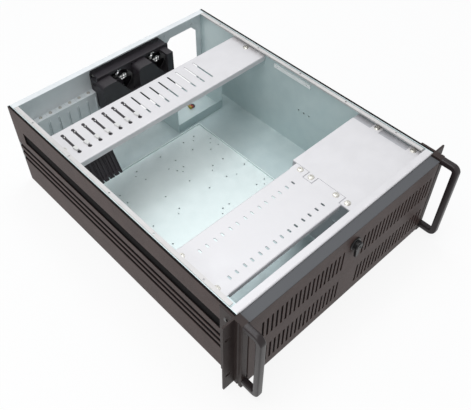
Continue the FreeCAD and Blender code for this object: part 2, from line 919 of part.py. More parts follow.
def handle():
    """Right-hand bow handle: a bar bent round two corners, its long edges eased."""
    foot = -ear_block_depth
    outline = [(foot, handle_bottom), (handle_front, handle_bottom, handle_corner),
               (handle_front, case_height, handle_corner), (foot, case_height),
               (foot, case_height - handle_bar), (handle_front + handle_bar, case_height - handle_bar,
                                                  handle_inner_corner),
               (handle_front + handle_bar, handle_bottom + handle_bar, handle_inner_corner),
               (foot, handle_bottom + handle_bar)]
    bow = prism(outline, "YZ", handle_centre - handle_width / 2, handle_width)
    edges = []
    for edge in bow.Edges:
        low = edge.BoundBox
        flat = abs(low.XMax - low.XMin) < 1e-6
        if flat and not (abs(low.YMin - foot) < 1e-6 and abs(low.YMax - foot) < 1e-6):
            edges.append(edge)
    bow = bow.makeChamfer(handle_chamfer, edges)
    tools = [hole(vec(handle_centre, foot + past, z), vec(0, -1, 0), handle_screw_radius + bore_gap,
                  handle_screw_bite + 2 * past, screw_sides) for z in handle_arm_heights()]
    return cut(bow, *tools)


def handle_screw(x, z):
    """Socket cap screw, from its seat in the ear block forward into the handle."""
    length = ear_block_depth + screw_seat_y() + handle_screw_bite
    head = handle_screw_head_radius
    profile = [(0, -length), (handle_screw_radius, -length), (handle_screw_radius, 0), (head, 0),
               (head, handle_screw_head_height), (0, handle_screw_head_height)]
    socket = prism(polygon(socket_radius, 6), "XY", handle_screw_head_height / 2, handle_screw_head_height)
    screw = flat_sided(profile, vec(0, 0, 0), AXIS_Z, screw_sides).cut(socket)
    return stand(screw, vec(x, screw_seat_y(), z), AXIS_Y)


def ear_screw(z):
    tip = wall_outer - sheet - ear_outer
    rise = ear_screw_head_height
    profile = [(0, tip), (ear_screw_radius, tip), (ear_screw_radius, 0), (ear_screw_head_radius, 0),
               (ear_screw_head_radius * 0.7, rise), (0, rise)]
    return flat_sided(profile, vec(ear_outer, ear_screw_y(), z), AXIS_X, hole_sides)


def door_vent_places():
    """Lower left corners of the slots: two rows, in groups that run outwards from the latch."""
    places = []
    for side, first, last in ((-1, latch_x - vent_gap_left, vent_margin_left - door_half_width),
                              (1, latch_x + vent_gap_right, door_half_width - vent_margin_right)):
        count = int((abs(last - first) - vent_width) / vent_pitch + 0.1) + 1
        start = first if side > 0 else first - vent_width
        for row in (vent_row_low, vent_row_high):
            places = places + [(start + side * i * vent_pitch, row) for i in range(count)]
    return places


def front_door():
    """Shallow pan with returned edges, vent slots and a rounded hinge corner."""
    back = -door_gap
    swing = hinge_forward - door_gap
    drop = hinge_height - door_bottom
    touch = math.sqrt(swing * swing - drop * drop)
    middle = -math.asin(drop / swing) / 2
    left = -door_half_width
    arc = Part.Arc(vec(left, -hinge_forward + touch, door_bottom),
                   vec(left, -hinge_forward + swing * math.cos(middle),
                       hinge_height + swing * math.sin(middle)),
                   vec(left, back, hinge_height)).toShape()
    corners = [vec(left, back, hinge_height), vec(left, back, door_top), vec(left, door_front, door_top),
               vec(left, door_front, door_bottom), vec(left, -hinge_forward + touch, door_bottom)]
    lines = [Part.LineSegment(corners[i], corners[i + 1]).toShape() for i in range(4)]
    side = Part.Face(Part.Wire(lines + [arc]))
    block = side.extrude(vec(2 * door_half_width, 0, 0))
    edges = [e for e in block.Edges if abs(e.BoundBox.YMin - door_front) < 1e-6
             and abs(e.BoundBox.YMax - door_front) < 1e-6]
    block = block.makeFillet(door_edge_radius, edges)
    inside = box(door_sheet - door_half_width, door_half_width - door_sheet, door_front + door_sheet, past,
                 door_bottom + door_sheet, door_top - door_sheet)
    near = door_front - past
    through = door_sheet + 2 * past
    tools = [inside]
    for x, z in door_vent_places():
        tools.append(box(x, x + vent_width, near, near + through, z, z + vent_height))
    tools.append(hole(vec(button_x, near, lamp_window_z), AXIS_Y, lamp_window_radius, through))
    tools.append(hole(vec(latch_x, near, latch_z), AXIS_Y, latch_sleeve_radius + bore_gap, through,
                      latch_sides))
    tools.append(rod(vec(left - past, -hinge_forward, hinge_height), AXIS_X, hinge_pin_radius + bore_gap,
                     2 * (door_half_width + past)))
    return cut(block, *tools)


def door_filter(places):
    """Thin dust filter lying against the inside of the door behind one group of slots."""
    face = door_front + door_sheet
    columns = [corner[0] for corner in places]
    return box(min(columns) - filter_margin, max(columns) + vent_width + filter_margin, face,
               face + filter_thickness, vent_row_low - filter_margin,
               vent_row_high + vent_height + filter_margin)


def door_filters():
    places = door_vent_places()
    return [door_filter([place for place in places if place[0] < latch_x]),
            door_filter([place for place in places if place[0] > latch_x])]


def hinge_pin():
    start = block_inner + hinge_pin_seat - hinge_pin_length
    return rod(vec(start, -hinge_forward, hinge_height), AXIS_X, hinge_pin_radius, hinge_pin_length)


def latch_barrel():
    """Bezel on the door's face, its sleeve through the sheet, and the nut behind."""
    nut = latch_sleeve_radius + latch_nut_wall
    nut_back = door_sheet + latch_nut_height
    profile = [(0, -latch_bezel_thickness), (latch_bezel_radius - latch_bezel_edge, -latch_bezel_thickness),
               (latch_bezel_radius, latch_bezel_edge - latch_bezel_thickness), (latch_bezel_radius, 0),
               (latch_sleeve_radius, 0), (latch_sleeve_radius, door_sheet), (nut, door_sheet),
               (nut, nut_back),
               (latch_sleeve_radius, nut_back), (latch_sleeve_radius, latch_sleeve_length),
               (0, latch_sleeve_length)]
    barrel = flat_sided(profile, vec(latch_x, door_front, latch_z), AXIS_Y, latch_sides)
    bore = rod(vec(latch_x, door_front - latch_bezel_thickness - past, latch_z), AXIS_Y,
               latch_shaft_radius + bore_gap, latch_bezel_thickness + latch_sleeve_length + 2 * past)
    return cut(barrel, bore)


def latch_front():
    return door_front - latch_bezel_thickness - latch_float


def cam_front():
    return sheet + past


def latch_knob():
    """Round boss with a keyhole, its tapered lever hanging down, and the shaft to the cam."""
    face = latch_front()
    shaft_end = cam_front() + latch_cam_thickness
    edge = latch_boss_edge
    profile = [(0, -latch_boss_length), (latch_boss_radius - edge, -latch_boss_length),
               (latch_boss_radius, edge - latch_boss_length), (latch_boss_radius, 0), (0, 0)]
    boss = flat_sided(profile, vec(latch_x, face, latch_z), AXIS_Y, latch_sides)
    shaft = rod(vec(latch_x, face - past, latch_z), AXIS_Y, latch_shaft_radius, shaft_end - face + past)
    lever = [(latch_x - latch_lever_root / 2, latch_z), (latch_x + latch_lever_root / 2, latch_z),
             (latch_x + latch_lever_tip / 2, latch_z - latch_lever_length),
             (latch_x - latch_lever_tip / 2, latch_z - latch_lever_length)]
    tab = prism(lever, "XZ", face - latch_lever_thickness - past, latch_lever_thickness)
    knob = fuse(boss, shaft, tab)
    tip = face - latch_boss_length
    keyhole = hole(vec(latch_x, tip - past, latch_z), AXIS_Y, key_slot_radius, 3 * past)
    key_slot = box(latch_x - key_slot_radius / 3, latch_x + key_slot_radius / 3, tip - past, tip + 2 * past,
                   latch_z - key_slot_length, latch_z)
    flat = box(latch_x + latch_flat, latch_x + latch_boss_radius, shaft_end - latch_cam_thickness,
               shaft_end + past, latch_z - latch_boss_radius, latch_z + latch_boss_radius)
    return cut(knob, keyhole, key_slot, flat)


def latch_cam():
    near = cam_front()
    half = latch_cam_width / 2
    shoulder = latch_cam_width * 0.75
    outline = [(latch_x - half, latch_z + shoulder), (latch_x - shoulder, latch_z + half),
               (latch_x - shoulder, latch_z - half), (latch_x - half, latch_z - latch_cam_length),
               (latch_x + half, latch_z - latch_cam_length), (latch_x + shoulder, latch_z - half),
               (latch_x + shoulder, latch_z + half), (latch_x + half, latch_z + shoulder)]
    cam = prism(outline, "XZ", near, latch_cam_thickness)
    bore = rod(vec(latch_x, near - past, latch_z), AXIS_Y, latch_shaft_radius + bore_gap,
               latch_cam_thickness + 2 * past)
    flat_side = box(latch_x + latch_flat + bore_gap, latch_x + latch_cam_width, near - 2 * past,
                    near + latch_cam_thickness + 2 * past, latch_z - latch_cam_width,
                    latch_z + latch_cam_width)
    return cut(cam, bore.cut(flat_side))


def bay_blank(i):
    """Moulded blank for one drive bay: a shallow tray with bevelled front edges and a finger groove."""
    low, high = bay_opening(i)
    left = cage_left + sheet + bay_gap
    right = cage_left + sheet + cage_inner_width - bay_gap
    low = low + bay_gap
    high = high - bay_gap
    front = -blank_thickness
    block = box(left, right, front, blank_rim_depth, low, high)
    edges = [e for e in block.Edges if e.BoundBox.YMax < front + 1e-6]
    block = block.makeChamfer(blank_chamfer, edges)
    hollow = box(left + blank_wall, right - blank_wall, 0, blank_rim_depth + past, low + blank_wall,
                 high - blank_wall)
    grip = box(left + grip_inset, right - grip_inset, front - past, front + grip_depth, low + grip_inset,
               low + grip_inset + grip_height)
    return cut(block, hollow, grip)


def push_button(z, radius):
    """Button that slides in its panel hole, held by a flange behind the sheet."""
    behind = sheet + bore_gap
    flange = radius + button_flange
    stem = radius - button_stem
    back = behind + button_edge + latch_float
    profile = [(0, -button_reach), (radius - button_edge, -button_reach),
               (radius, button_edge - button_reach),
               (radius, behind), (flange, behind), (flange, back), (stem, back), (stem, back + button_stem),
               (0, back + button_stem)]
    return turned(profile, vec(button_x, 0, z), AXIS_Y)


def switch_block(z, radius):
    """Housing behind the panel; its pocket leaves the button its travel."""
    half = switch_block_size / 2
    behind = sheet + bore_gap
    flange_back = behind + button_edge + latch_float
    block = box(button_x - half, button_x + half, sheet, sheet + switch_block_depth, z - half, z + half)
    room = button_travel + fit_gap
    pocket = hole(vec(button_x, 0, z), AXIS_Y, radius + button_flange + fit_gap, flange_back + room,
                  screw_sides)
    well = hole(vec(button_x, 0, z), AXIS_Y, radius - button_stem + fit_gap,
                flange_back + button_stem + room,
                screw_sides)
    return cut(block, pocket, well)


def status_lamp(z):
    """Domed lens through the panel with a collar and a body behind."""
    collar = lamp_radius + fit_gap
    profile = [(0, -lamp_dome - fit_gap), (lamp_radius * 0.7, -lamp_dome), (lamp_radius, -fit_gap),
               (lamp_radius, sheet), (collar, sheet), (collar, 2 * sheet), (0, 2 * sheet)]
    return flat_sided(profile, vec(button_x, 0, z), AXIS_Y, hole_sides)


def ledge(y0, y1, top):
    """Right-hand angle on the wall, its shelf reaching inwards at the given height."""
    path = [(inner_half_width - ledge_width, top), (inner_half_width, top),
            (inner_half_width, top - ledge_leg)]
    return prism(folded(path, sheet, -1, bend_radius), "XZ", y0, y1 - y0)


def wall_ledges():
    """Angles spot-welded to the walls: two under the bar, one under the tray, one under the cage flange."""
    under_bar = ledge(bar_front + 2 * sheet, bar_rear - 2 * sheet, shelf_under)
    under_tray = mirrored(ledge(cover_front, tray_rear + tray_ledge_overrun, shelf_under))
    under_cage = ledge(cover_front, cage_depth, shelf_under - sheet)
    drills = [screw_hole(x, y) for x, y in bar_screw_places() + tray_screw_places() + cage_screw_places()]
    return [cut(angle, *drills) for angle in (under_bar, mirrored(under_bar), under_tray, under_cage)]


def washer_screw(x, y, length):
    """Flat pan-head screw with its washer, standing on the shelf level; the head has a cross recess."""
    rise = washer_thickness + screw_head_height
    profile = [(0, -length), (screw_shank_radius, -length), (screw_shank_radius, 0), (washer_radius, 0),
               (washer_radius, washer_thickness), (screw_head_radius, washer_thickness),
               (screw_head_radius * 0.7, rise), (0, rise)]
    screw = flat_sided(profile, vec(x, y, shelf_top), AXIS_Z, screw_sides)
    floor = shelf_top + rise - cross_depth
    top = shelf_top + rise + past
    half = cross_length / 2
    thin = cross_width / 2
    return cut(screw, box(x - half, x + half, y - thin, y + thin, floor, top),
               box(x - thin, x + thin, y - half, y + half, floor, top))


def screw_hole(x, y):
    return hole(vec(x, y, shelf_top - screw_length - sheet), AXIS_Z, screw_shank_radius + bore_gap,
                screw_length + 2 * sheet)


def bar_screw_places():
    inset = inner_half_width - ledge_width / 2 - bend_radius - sheet
    return [(side * inset, bar_front + bar_depth / 2) for side in (-1, 1)]


def tray_screw_places():
    left = -inner_half_width + ledge_width - tray_screw_edge
    right = cage_left - tab_screw_inset
    return [(x, y) for x in (left, right)
            for y in (tray_front + tray_screw_row, tray_rear - tray_screw_inset)]


def cage_screw_places():
    left = cage_left - tab_screw_inset
    right = inner_half_width - tab_screw_inset
    return [(x, start + tab_depth / 2) for x in (left, right)
            for start in (tab_front_start, tab_rear_start)]


def bar_slot_x(i):
    return -inner_half_width + bar_slot_inset + i * slot_pitch


def holddown_bar():
    """Wide bar across the case with turned-down edges and a row of slots for the card-arm guides."""
    path = [(bar_front, shelf_top - bar_flange), (bar_front, shelf_top), (bar_rear, shelf_top),
            (bar_rear, shelf_top - bar_flange)]
    bar = prism(folded(path, sheet, -1, bend_radius), "YZ", -bar_half_length, 2 * bar_half_length)
    tools = []
    for i in range(bar_slot_count):
        x = bar_slot_x(i)
        middle = (bar_slot_front + bar_slot_rear) / 2
        if i >= arm_count:
            tools.append(slot_cut(x, middle, bar_slot_length, bar_slot_width))
            continue
        tools.append(slot_cut(x, middle, bar_slot_length, arm_slot_width))
        for y, radius in ((bar_eye_y, bar_eye_radius), (bar_slot_rear - bar_tail_radius, bar_tail_radius),
                          (bar_slot_front + bar_mouth_radius, bar_mouth_radius)):
            tools.append(hole(vec(x, y, shelf_under - past), AXIS_Z, radius, sheet + 2 * past))
    bar = cut(bar, *tools)
    return cut(bar, *[screw_hole(x, y) for x, y in bar_screw_places()])


def arm_guide(i):
    """Moulded guide clamped under a bar slot, with a rib filling the slot and two ears for the arm."""
    x = bar_slot_x(i)
    top = shelf_under
    low = top - guide_height
    half = guide_width / 2
    body = box(x - half, x + half, guide_front, guide_front + guide_length, low, top)
    rib_half = arm_slot_width / 2 - guide_rib_gap
    rib_rise = sheet + guide_rib_rise
    rib_start = thumb_y + thumb_length / 2 + fit_gap
    rib_end = bar_slot_rear - bar_tail_radius
    rib = box(x - rib_half, x + rib_half, rib_start, rib_end, top - past, top + rib_rise)
    eye = peg(vec(x, bar_eye_y, top - past), AXIS_Z, bar_eye_radius - bore_gap, past + rib_rise,
              screw_sides)
    tail = peg(vec(x, rib_end, top - past), AXIS_Z, bar_tail_radius - guide_rib_gap, past + rib_rise,
               hole_sides)
    reach = arm_knuckle_radius
    ears = []
    for side in (-1, 1):
        near = x + side * (half - guide_ear / 2)
        outline = [(guide_front, low + past), (guide_front, arm_pivot_z),
                   (arm_pivot_y - reach / 2, arm_pivot_z - reach),
                   (arm_pivot_y + reach / 2, arm_pivot_z - reach),
                   (arm_pivot_y + reach + past, arm_pivot_z),
                   (arm_pivot_y + reach + past, low + past)]
        ears.append(prism(outline, "YZ", near - guide_ear / 2, guide_ear))
    guide = fuse(body, rib, eye, tail, *ears)
    eye_hole = hole(vec(x, bar_eye_y, top - eye_peg_depth), AXIS_Z, eye_peg_radius + bore_gap,
                    eye_peg_depth + 2 * sheet)
    pin_hole = rod(vec(x - guide_width, arm_pivot_y, arm_pivot_z), AXIS_X, arm_pin_radius + bore_gap,
                   2 * guide_width)
    post_hole = hole(vec(x, thumb_y, low - past), AXIS_Z, thumb_post_radius + bore_gap,
                     guide_height + 2 * past)
    return cut(guide, eye_hole, pin_hole, post_hole)


def guide_thumb(i):
    """Wedge-shaped thumb nut that clamps the guide against the bar, on its screw post."""
    x = bar_slot_x(i)
    half = thumb_width / 2
    tip = thumb_tip_width / 2
    reach = thumb_length / 2
    cap = prism([(x - tip, thumb_y - reach), (x + tip, thumb_y - reach), (x + half, thumb_y + reach),
                 (x - half, thumb_y + reach)], "XY", shelf_top, thumb_rise)
    post = peg(vec(x, thumb_y, shelf_under - guide_height), AXIS_Z, thumb_post_radius,
               guide_height + sheet + past,
               hole_sides)
    return fuse(cap, post)


def eye_peg(i):
    """Short pin seated in the eye of a guide, standing a little above it."""
    return peg(vec(bar_slot_x(i), bar_eye_y, shelf_under - eye_peg_depth), AXIS_Z, eye_peg_radius,
               eye_peg_depth + sheet + 1.5 * guide_rib_rise, hole_sides)


def card_arm(i):
    """Swinging card arm: knuckle with stub pins, ribbed blade and a notched foot."""
    x = bar_slot_x(i)
    half = arm_width / 2
    thick = arm_thickness / 2
    step = arm_start / 2
    blade = [(-thick, -arm_start), (-thick, -arm_length), (thick / 2, -arm_length),
             (thick, -arm_length + arm_start),
             (thick, -arm_start - step), (thick / 3, -arm_start)]
    arm = prism(blade, "YZ", -half, arm_width)
    neck = box(-arm_knuckle_width / 2, arm_knuckle_width / 2, -thick / 2, thick / 2, -arm_start - step, 0)
    knuckle = peg(vec(-arm_knuckle_width / 2, 0, 0), AXIS_X, arm_knuckle_radius - fit_gap,
                  arm_knuckle_width,
                  screw_sides)
    pins = rod(vec(-guide_width / 2, 0, 0), AXIS_X, arm_pin_radius, guide_width)
    arm = fuse(arm, neck, knuckle, pins)
    tools = []
    for side in (-1, 0, 1):
        middle = side * arm_width / 3
        tools.append(box(middle - arm_groove_width / 2, middle + arm_groove_width / 2, -thick - past,
                         arm_groove_depth - thick, -arm_length + arm_notch_height + step,
                         -arm_start - step))
    for side in (-1, 1):
        middle = side * arm_width / 4
        tools.append(box(middle - arm_notch_width / 2, middle + arm_notch_width / 2, -thick - past,
                         thick + past,
                         -arm_length - past, arm_notch_height - arm_length))
    arm = cut(arm, *tools)
    angle = -arm_down_angle if i < arms_down else 90.0
    arm.Placement = FreeCAD.Placement(vec(x, arm_pivot_y, arm_pivot_z), FreeCAD.Rotation(AXIS_X, angle))
    return arm


def drive_tray():
    """Level tray over the front of the floor, notched round the cage's tabs, with folded edges."""
    notch = cage_left - cage_flange - fit_gap
    clear = fit_gap + past
    front_tab = tab_front_start + tab_depth + clear
    rear_tab = tab_rear_start + tab_depth + clear
    outline = [(tray_left, tray_front), (notch, tray_front), (notch, front_tab), (tray_right, front_tab),
               (tray_right, tab_rear_start - clear), (notch, tab_rear_start - clear), (notch, rear_tab),
               (tray_right, rear_tab), (tray_right, tray_rear), (tray_left, tray_rear)]
    plate = prism(outline, "XY", shelf_under, sheet)
    flange_left = -inner_half_width + ledge_width + bend_radius + sheet
    flange_right = notch - bend_radius
    low = shelf_top - tray_flange
    flanges = []
    relief = []
    # the plate gives way to the bend along both flanges
    for edge, inwards in ((tray_front, 1), (tray_rear, -1)):
        path = [(edge, low), (edge, shelf_top), (edge + inwards * tray_lip, shelf_top)]
        outline = folded(path, sheet, -inwards, bend_radius)
        flanges.append(prism(outline, "YZ", flange_left, flange_right - flange_left))
        near, far = sorted((edge - inwards * past, edge + inwards * tray_relief))
        relief.append(box(flange_left, flange_right, near, far, shelf_under - past, shelf_top + past))
    tray = fuse(cut(plate, *relief), *flanges)
    first = -inner_half_width + tray_slot_inset
    tools = []
    for row in (0, 1):
        for pair in range(tray_slot_pairs):
            for extra in (0, tray_pair_gap):
                tools.append(slot_cut(first + pair * tray_pair_pitch + extra,
                                      tray_front + tray_slot_row + row * tray_row_spacing,
                                      tray_slot_length, tray_slot_width))
    tools = tools + [screw_hole(x, y) for x, y in tray_screw_places()]
    return cut(tray, *tools)


def drive_cage():
    """Folded channel for the drives, with outward top flanges and a front flange."""
    left = cage_left + sheet
    right = left + cage_inner_width
    path = [(cage_left - cage_flange, shelf_under), (left, shelf_under), (left, cage_floor + sheet),
            (right, cage_floor + sheet), (right, shelf_under), (bar_half_length, shelf_under)]
    cage = prism(folded(path, sheet, -1, bend_radius), "XZ", sheet, cage_depth)
    feet = []
    for x0, x1 in ((cage_left - cage_foot_flange, cage_left + sheet / 2),
                   (cage_right - sheet / 2, cage_right + cage_foot_flange)):
        feet.append(box(x0, x1, sheet, 2 * sheet, bay_bottom, shelf_under - 3 * sheet))
    cage = fuse(cage, *feet)
    # the left flange stops where the tray does
    tools = [box(cage_left - cage_flange - past, cage_left - fit_gap, tray_rear, sheet + cage_depth + past,
                 shelf_under - ledge_width, shelf_under + past)]
    for i in range(bay_count):
        low = bay_opening(i)[0]
        for y in (cage_slot_front, cage_slot_front + cage_slot_spacing):
            for z in (low + drive_hole_low, low + drive_hole_high):
                tools.append(box(cage_left - past, cage_right + past, y - cage_slot_length / 2,
                                 y + cage_slot_length / 2, z - cage_slot_height / 2,
                                 z + cage_slot_height / 2))
    tools.append(box(cage_left + cage_window_margin, cage_right - cage_window_margin, cage_window_margin,
                     cage_depth - cage_window_margin, cage_floor - past, cage_floor + sheet + past))
    tools = tools + [screw_hole(x, y) for x, y in tray_screw_places()[2:] + cage_screw_places()]
    return cut(cage, *tools)


def cage_cover():
    """Cover plate over the drives, with two tabs on each side for its screws."""
    left = cage_left
    right = cage_right
    far = bar_half_length
    near = cage_left - cage_flange + fit_gap
    rear = sheet + cage_depth
    front_tab = tab_front_start + tab_depth
    rear_tab = tab_rear_start + tab_depth
    outline = [(left, cover_front), (far, cover_front), (far, front_tab, cover_corner), (right, front_tab),
               (right, tab_rear_start), (far, tab_rear_start, cover_corner), (far, rear_tab, cover_corner),
               (right, rear_tab), (right, rear), (left, rear)]
    for high, low in ((rear_tab, tab_rear_start), (front_tab, front_tab - cover_front_tab)):
        outline.append((left, high))
        outline.append((near, high, cover_corner))
        outline.append((near, low, cover_corner))
        outline.append((left, low))
    plate = prism(outline, "XY", shelf_under, sheet)
    return cut(plate, *[screw_hole(x, y) for x, y in cage_screw_places()])


def fan_frame(x):
    """Square fan frame: round bore, waisted corners, and a rear spider that carries the axle."""
    half = fan_size / 2
    body = prism(rectangle(x - half, x + half, fan_z - half, fan_z + half, fan_corner), "XZ", fan_front,
                 fan_depth)
    bore = rod(vec(x, fan_front - past, fan_z), AXIS_Y, fan_bore_radius, fan_depth + 2 * past)
    tools = [bore]
    for sx in (-1, 1):
        for sz in (-1, 1):
            u = x + sx * half
            v = fan_z + sz * half
            tools.append(prism([(u + sx, v + sz), (u - sx * fan_waist, v + sz),
                                (u + sx, v - sz * fan_waist)], "XZ",
                               fan_front + fan_flange, fan_depth - 2 * fan_flange))
    for u, v in fan_hole_places(x):
        tools.append(hole(vec(u, fan_front - past, v), AXIS_Y, fan_hole_radius, fan_depth + 2 * past))
    frame = cut(body, *tools)
    back = fan_front + fan_depth - fan_spider_depth
    spokes = []
    for i in range(fan_spoke_count):
        spoke = box(0, fan_bore_radius + past, -fan_spoke_width / 2, fan_spoke_width / 2, 0,
                    fan_spider_depth)
        spokes.append(stand(spoke, vec(x, back, fan_z), AXIS_Y, 360 * (i + 0.5) / fan_spoke_count))
    seat = peg(vec(x, back, fan_z), AXIS_Y, fan_hub_radius, fan_spider_depth, guard_sides)
    axle = rod(vec(x, fan_front + fan_rotor_margin, fan_z), AXIS_Y, fan_axle_radius,
               fan_depth - fan_rotor_margin - fan_spider_depth + past)
    return fuse(frame, seat, axle, *spokes)


def fan_rotor(x):
    """Cup hub with swept blades; it runs on the frame's axle."""
    hub_radius = fan_hub_radius - fan_hub_edge / 3
    profile = [(0, 0), (hub_radius - fan_hub_edge, 0), (hub_radius, fan_hub_edge),
               (hub_radius, rotor_length),
               (0, rotor_length)]
    hub = flat_sided(profile, vec(x, rotor_front, fan_z), AXIS_Y, guard_sides)
    tip = fan_bore_radius - fan_tip_gap
    root = hub_radius - fan_hub_edge
    spread = math.tan(math.pi * fan_blade_cover / fan_blade_count)
    wires = []
    for radius, pitch in ((root, fan_root_pitch), (tip, fan_tip_pitch)):
        run = radius * spread
        rise = min(run * math.tan(math.radians(pitch)), rotor_length / 2 - fan_blade_thickness)
        points = [vec(radius, -run, -rise), vec(radius, run, rise),
                  vec(radius, run, rise + fan_blade_thickness),
                  vec(radius, -run, -rise + fan_blade_thickness)]
        wires.append(Part.makePolygon(points + [points[0]]))
    swept = peg(vec(0, 0, -rotor_length / 2), AXIS_Z, tip, rotor_length, guard_sides)
    blade = Part.makeLoft(wires, True, True).common(swept)
    middle = vec(x, rotor_front + rotor_length / 2, fan_z)
    blades = [stand(blade.copy(), middle, AXIS_Y, 360 * i / fan_blade_count)
              for i in range(fan_blade_count)]
    axle_room = rod(vec(x, rotor_front + fan_hub_wall, fan_z), AXIS_Y, fan_axle_radius + bore_gap,
                    fan_depth)
    return cut(fuse(hub, *blades), axle_room)


def fan_hood(start, low, high, skirt, front):
    """Scoop before a fan: an upright with one slanted edge, and a side and roof round one corner."""
    slope_foot = low + holder_skirt_height
    outline = [(start, low), (start + hood_foot, low), (start + hood_foot, slope_foot),
               (start + hood_top, high),
               (start, high, hood_corner)]
    upright = prism(outline, "XZ", skirt, holder_wall)
    path = [(start, low), (start, high), (start + hood_top, high)]
    cover = prism(folded(path, holder_wall, -1, hood_corner - holder_wall), "XZ", skirt,
                  front + holder_wall / 2 - skirt)
    return [upright, cover]


def fan_post(right, low, high, skirt, front):
    """Plain post at the holder's right end, with its own side and roof."""
    start = right - post_width
    path = [(start, high), (right, high), (right, low)]
    cover = prism(folded(path, holder_wall, -1, 0), "XZ", skirt, front + holder_wall / 2 - skirt)
    return [prism(rectangle(start, right, low, high), "XZ", skirt, holder_wall), cover]


def fan_holder():
    """Moulded holder round the fans: back plate, top shelf, and an apron with uprights in front."""
    left = fan_first_left - holder_margin
    right = fan_centres[-1] + fan_size / 2 + holder_margin
    low = fan_top - fan_size - holder_foot
    high = fan_top + holder_wall
    front = fan_front - holder_wall
    skirt = front - holder_skirt_reach
    plate = prism(rectangle(left, right, low, high, holder_corner), "XZ", front, holder_wall)
    shelf = box(left + holder_corner, right - holder_corner, front, rear_inside, fan_top, high)
    clips = [box(x, x + holder_margin, front, front + holder_clip_depth, z, fan_z + holder_clip_half)
             for x, z in ((left, slot_shelf_z + holder_margin),
                          (right - holder_margin, fan_z - holder_clip_half))]
    skirt_left = fan_centres[0] - hood_offset
    skirt_right = fan_centres[-1] + post_offset
    hood_high = high - hood_drop
    apron = box(skirt_left, skirt_right, skirt, skirt + holder_wall, low, low + holder_skirt_height)
    pieces = [shelf, apron] + clips
    for x in fan_centres:
        pieces = pieces + fan_hood(x - hood_offset, low, hood_high, skirt, front)
    pieces = pieces + fan_post(skirt_right, low, hood_high, skirt, front)
    holder = fuse(plate, *pieces)
    tools = []
    for x in fan_centres:
        tools.append(rod(vec(x, front - past, fan_z), AXIS_Y, fan_bore_radius, holder_wall + 2 * past))
        for u, v in fan_hole_places(x):
            tools.append(hole(vec(u, front - past, v), AXIS_Y, fan_hole_radius, holder_wall + 2 * past))
    return cut(holder, *tools)


def finger_guard(x):
    """Flat wire guard: rings joined by two crossed bars that end in screw eyes."""
    pieces = []
    for i in range(guard_ring_count):
        radius = guard_first_ring + i * guard_ring_pitch
        outer = peg(vec(x, body_depth, fan_z), AXIS_Y, radius, guard_thickness, guard_sides)
        inner = peg(vec(x, body_depth - past, fan_z), AXIS_Y, radius - guard_wire,
                    guard_thickness + 2 * past,
                    guard_sides)
        pieces.append(outer.cut(inner))
    reach = fan_hole_pitch / math.sqrt(2)
    for angle in (45, 135):
        bar = box(-reach, reach, -guard_wire / 2, guard_wire / 2, 0, guard_thickness)
        pieces.append(stand(bar, vec(x, body_depth, fan_z), AXIS_Y, angle))
    for u, v in fan_hole_places(x):
        pieces.append(peg(vec(u, body_depth, v), AXIS_Y, guard_eye_radius, guard_thickness, hole_sides))
    drills = [hole(vec(u, body_depth - past, v), AXIS_Y, fan_hole_radius, guard_thickness + 2 * past)
              for u, v in fan_hole_places(x)]
    return cut(fuse(*pieces), *drills)


def fan_screw(x, z):
    tip = -guard_thickness - sheet - fan_screw_bite
    rise = fan_screw_head_height
    profile = [(0, tip), (fan_screw_radius, tip), (fan_screw_radius, 0), (fan_screw_head_radius, 0),
               (fan_screw_head_radius * 0.8, rise), (0, rise)]
    return flat_sided(profile, vec(x, body_depth + guard_thickness, z), AXIS_Y, hole_sides)


def motherboard_tray():
    """Raised board plate with upturned rims at its rear and right edges, and downturned feet."""
    low = sheet
    top = sheet + board_lift
    base = [(board_left, low), (board_left + sheet, low), (board_left + sheet, top - sheet),
            (board_right, top - sheet), (board_right, top + board_rim),
            (board_right - sheet, top + board_rim),
            (board_right - sheet, top), (board_left, top)]
    plate = prism(base, "XZ", board_front, board_rear - board_front)
    rim = box(board_left, board_right, board_rear - sheet, board_rear, top - sheet / 2, top + board_rim)
    feet = [box(board_left, board_right, y, y + sheet, low, top - sheet / 2)
            for y in (board_front, board_rear - sheet)]
    right_foot = box(board_right - sheet, board_right, board_front, board_rear, low, top - sheet / 2)
    plate = fuse(plate, rim, right_foot, *feet)
    tools = [hole(vec(x, y, low), AXIS_Z, radius, board_lift + past, 6)
             for x, y, radius in board_hole_places()]
    return cut(plate, *tools)


def board_hole_places():
    """Holes for board screws on a staggered grid, each second one with a smaller twin beside it."""
    places = []
    for i, column in enumerate(board_columns):
        for j, row in enumerate(board_rows):
            x = board_right - column
            y = board_rear - row
            if (i + 2 * j) % 3 != 0:
                places.append((x, y, board_hole_radius))
            if (i + j) % 4 == 1:
                places.append((x - board_twin_shift, y - board_twin_shift, board_hole_radius * 0.75))
    return places


def psu_cradle():
    """Channel that holds the front end of the power supply, with sloped sides and a low front lip."""
    low = sheet
    top = low + cradle_side
    back = cradle_front + cradle_depth
    path = [(cradle_left, top), (cradle_left, low), (cradle_right, low), (cradle_right, top)]
    cradle = prism(folded(path, sheet, 1, bend_radius), "XZ", cradle_front, cradle_depth)
    lip = box(cradle_left + sheet + bend_radius, cradle_right - sheet - bend_radius, cradle_front,
              cradle_front + sheet, low + sheet / 2, low + cradle_lip)
    cradle = fuse(cradle, lip)
    slope = prism([(cradle_front + cradle_slope_start, top + past), (back + past, top + past),
                   (back + past, low + cradle_slope_start)], "YZ", cradle_left - past,
                   cradle_width + 2 * past)
    drill = hole(vec(cradle_left - past, cradle_front + cradle_hole_inset, top - cradle_hole_inset), AXIS_X,
                 cradle_hole_radius, cradle_width + 2 * past)
    return cut(cradle, slope, drill)


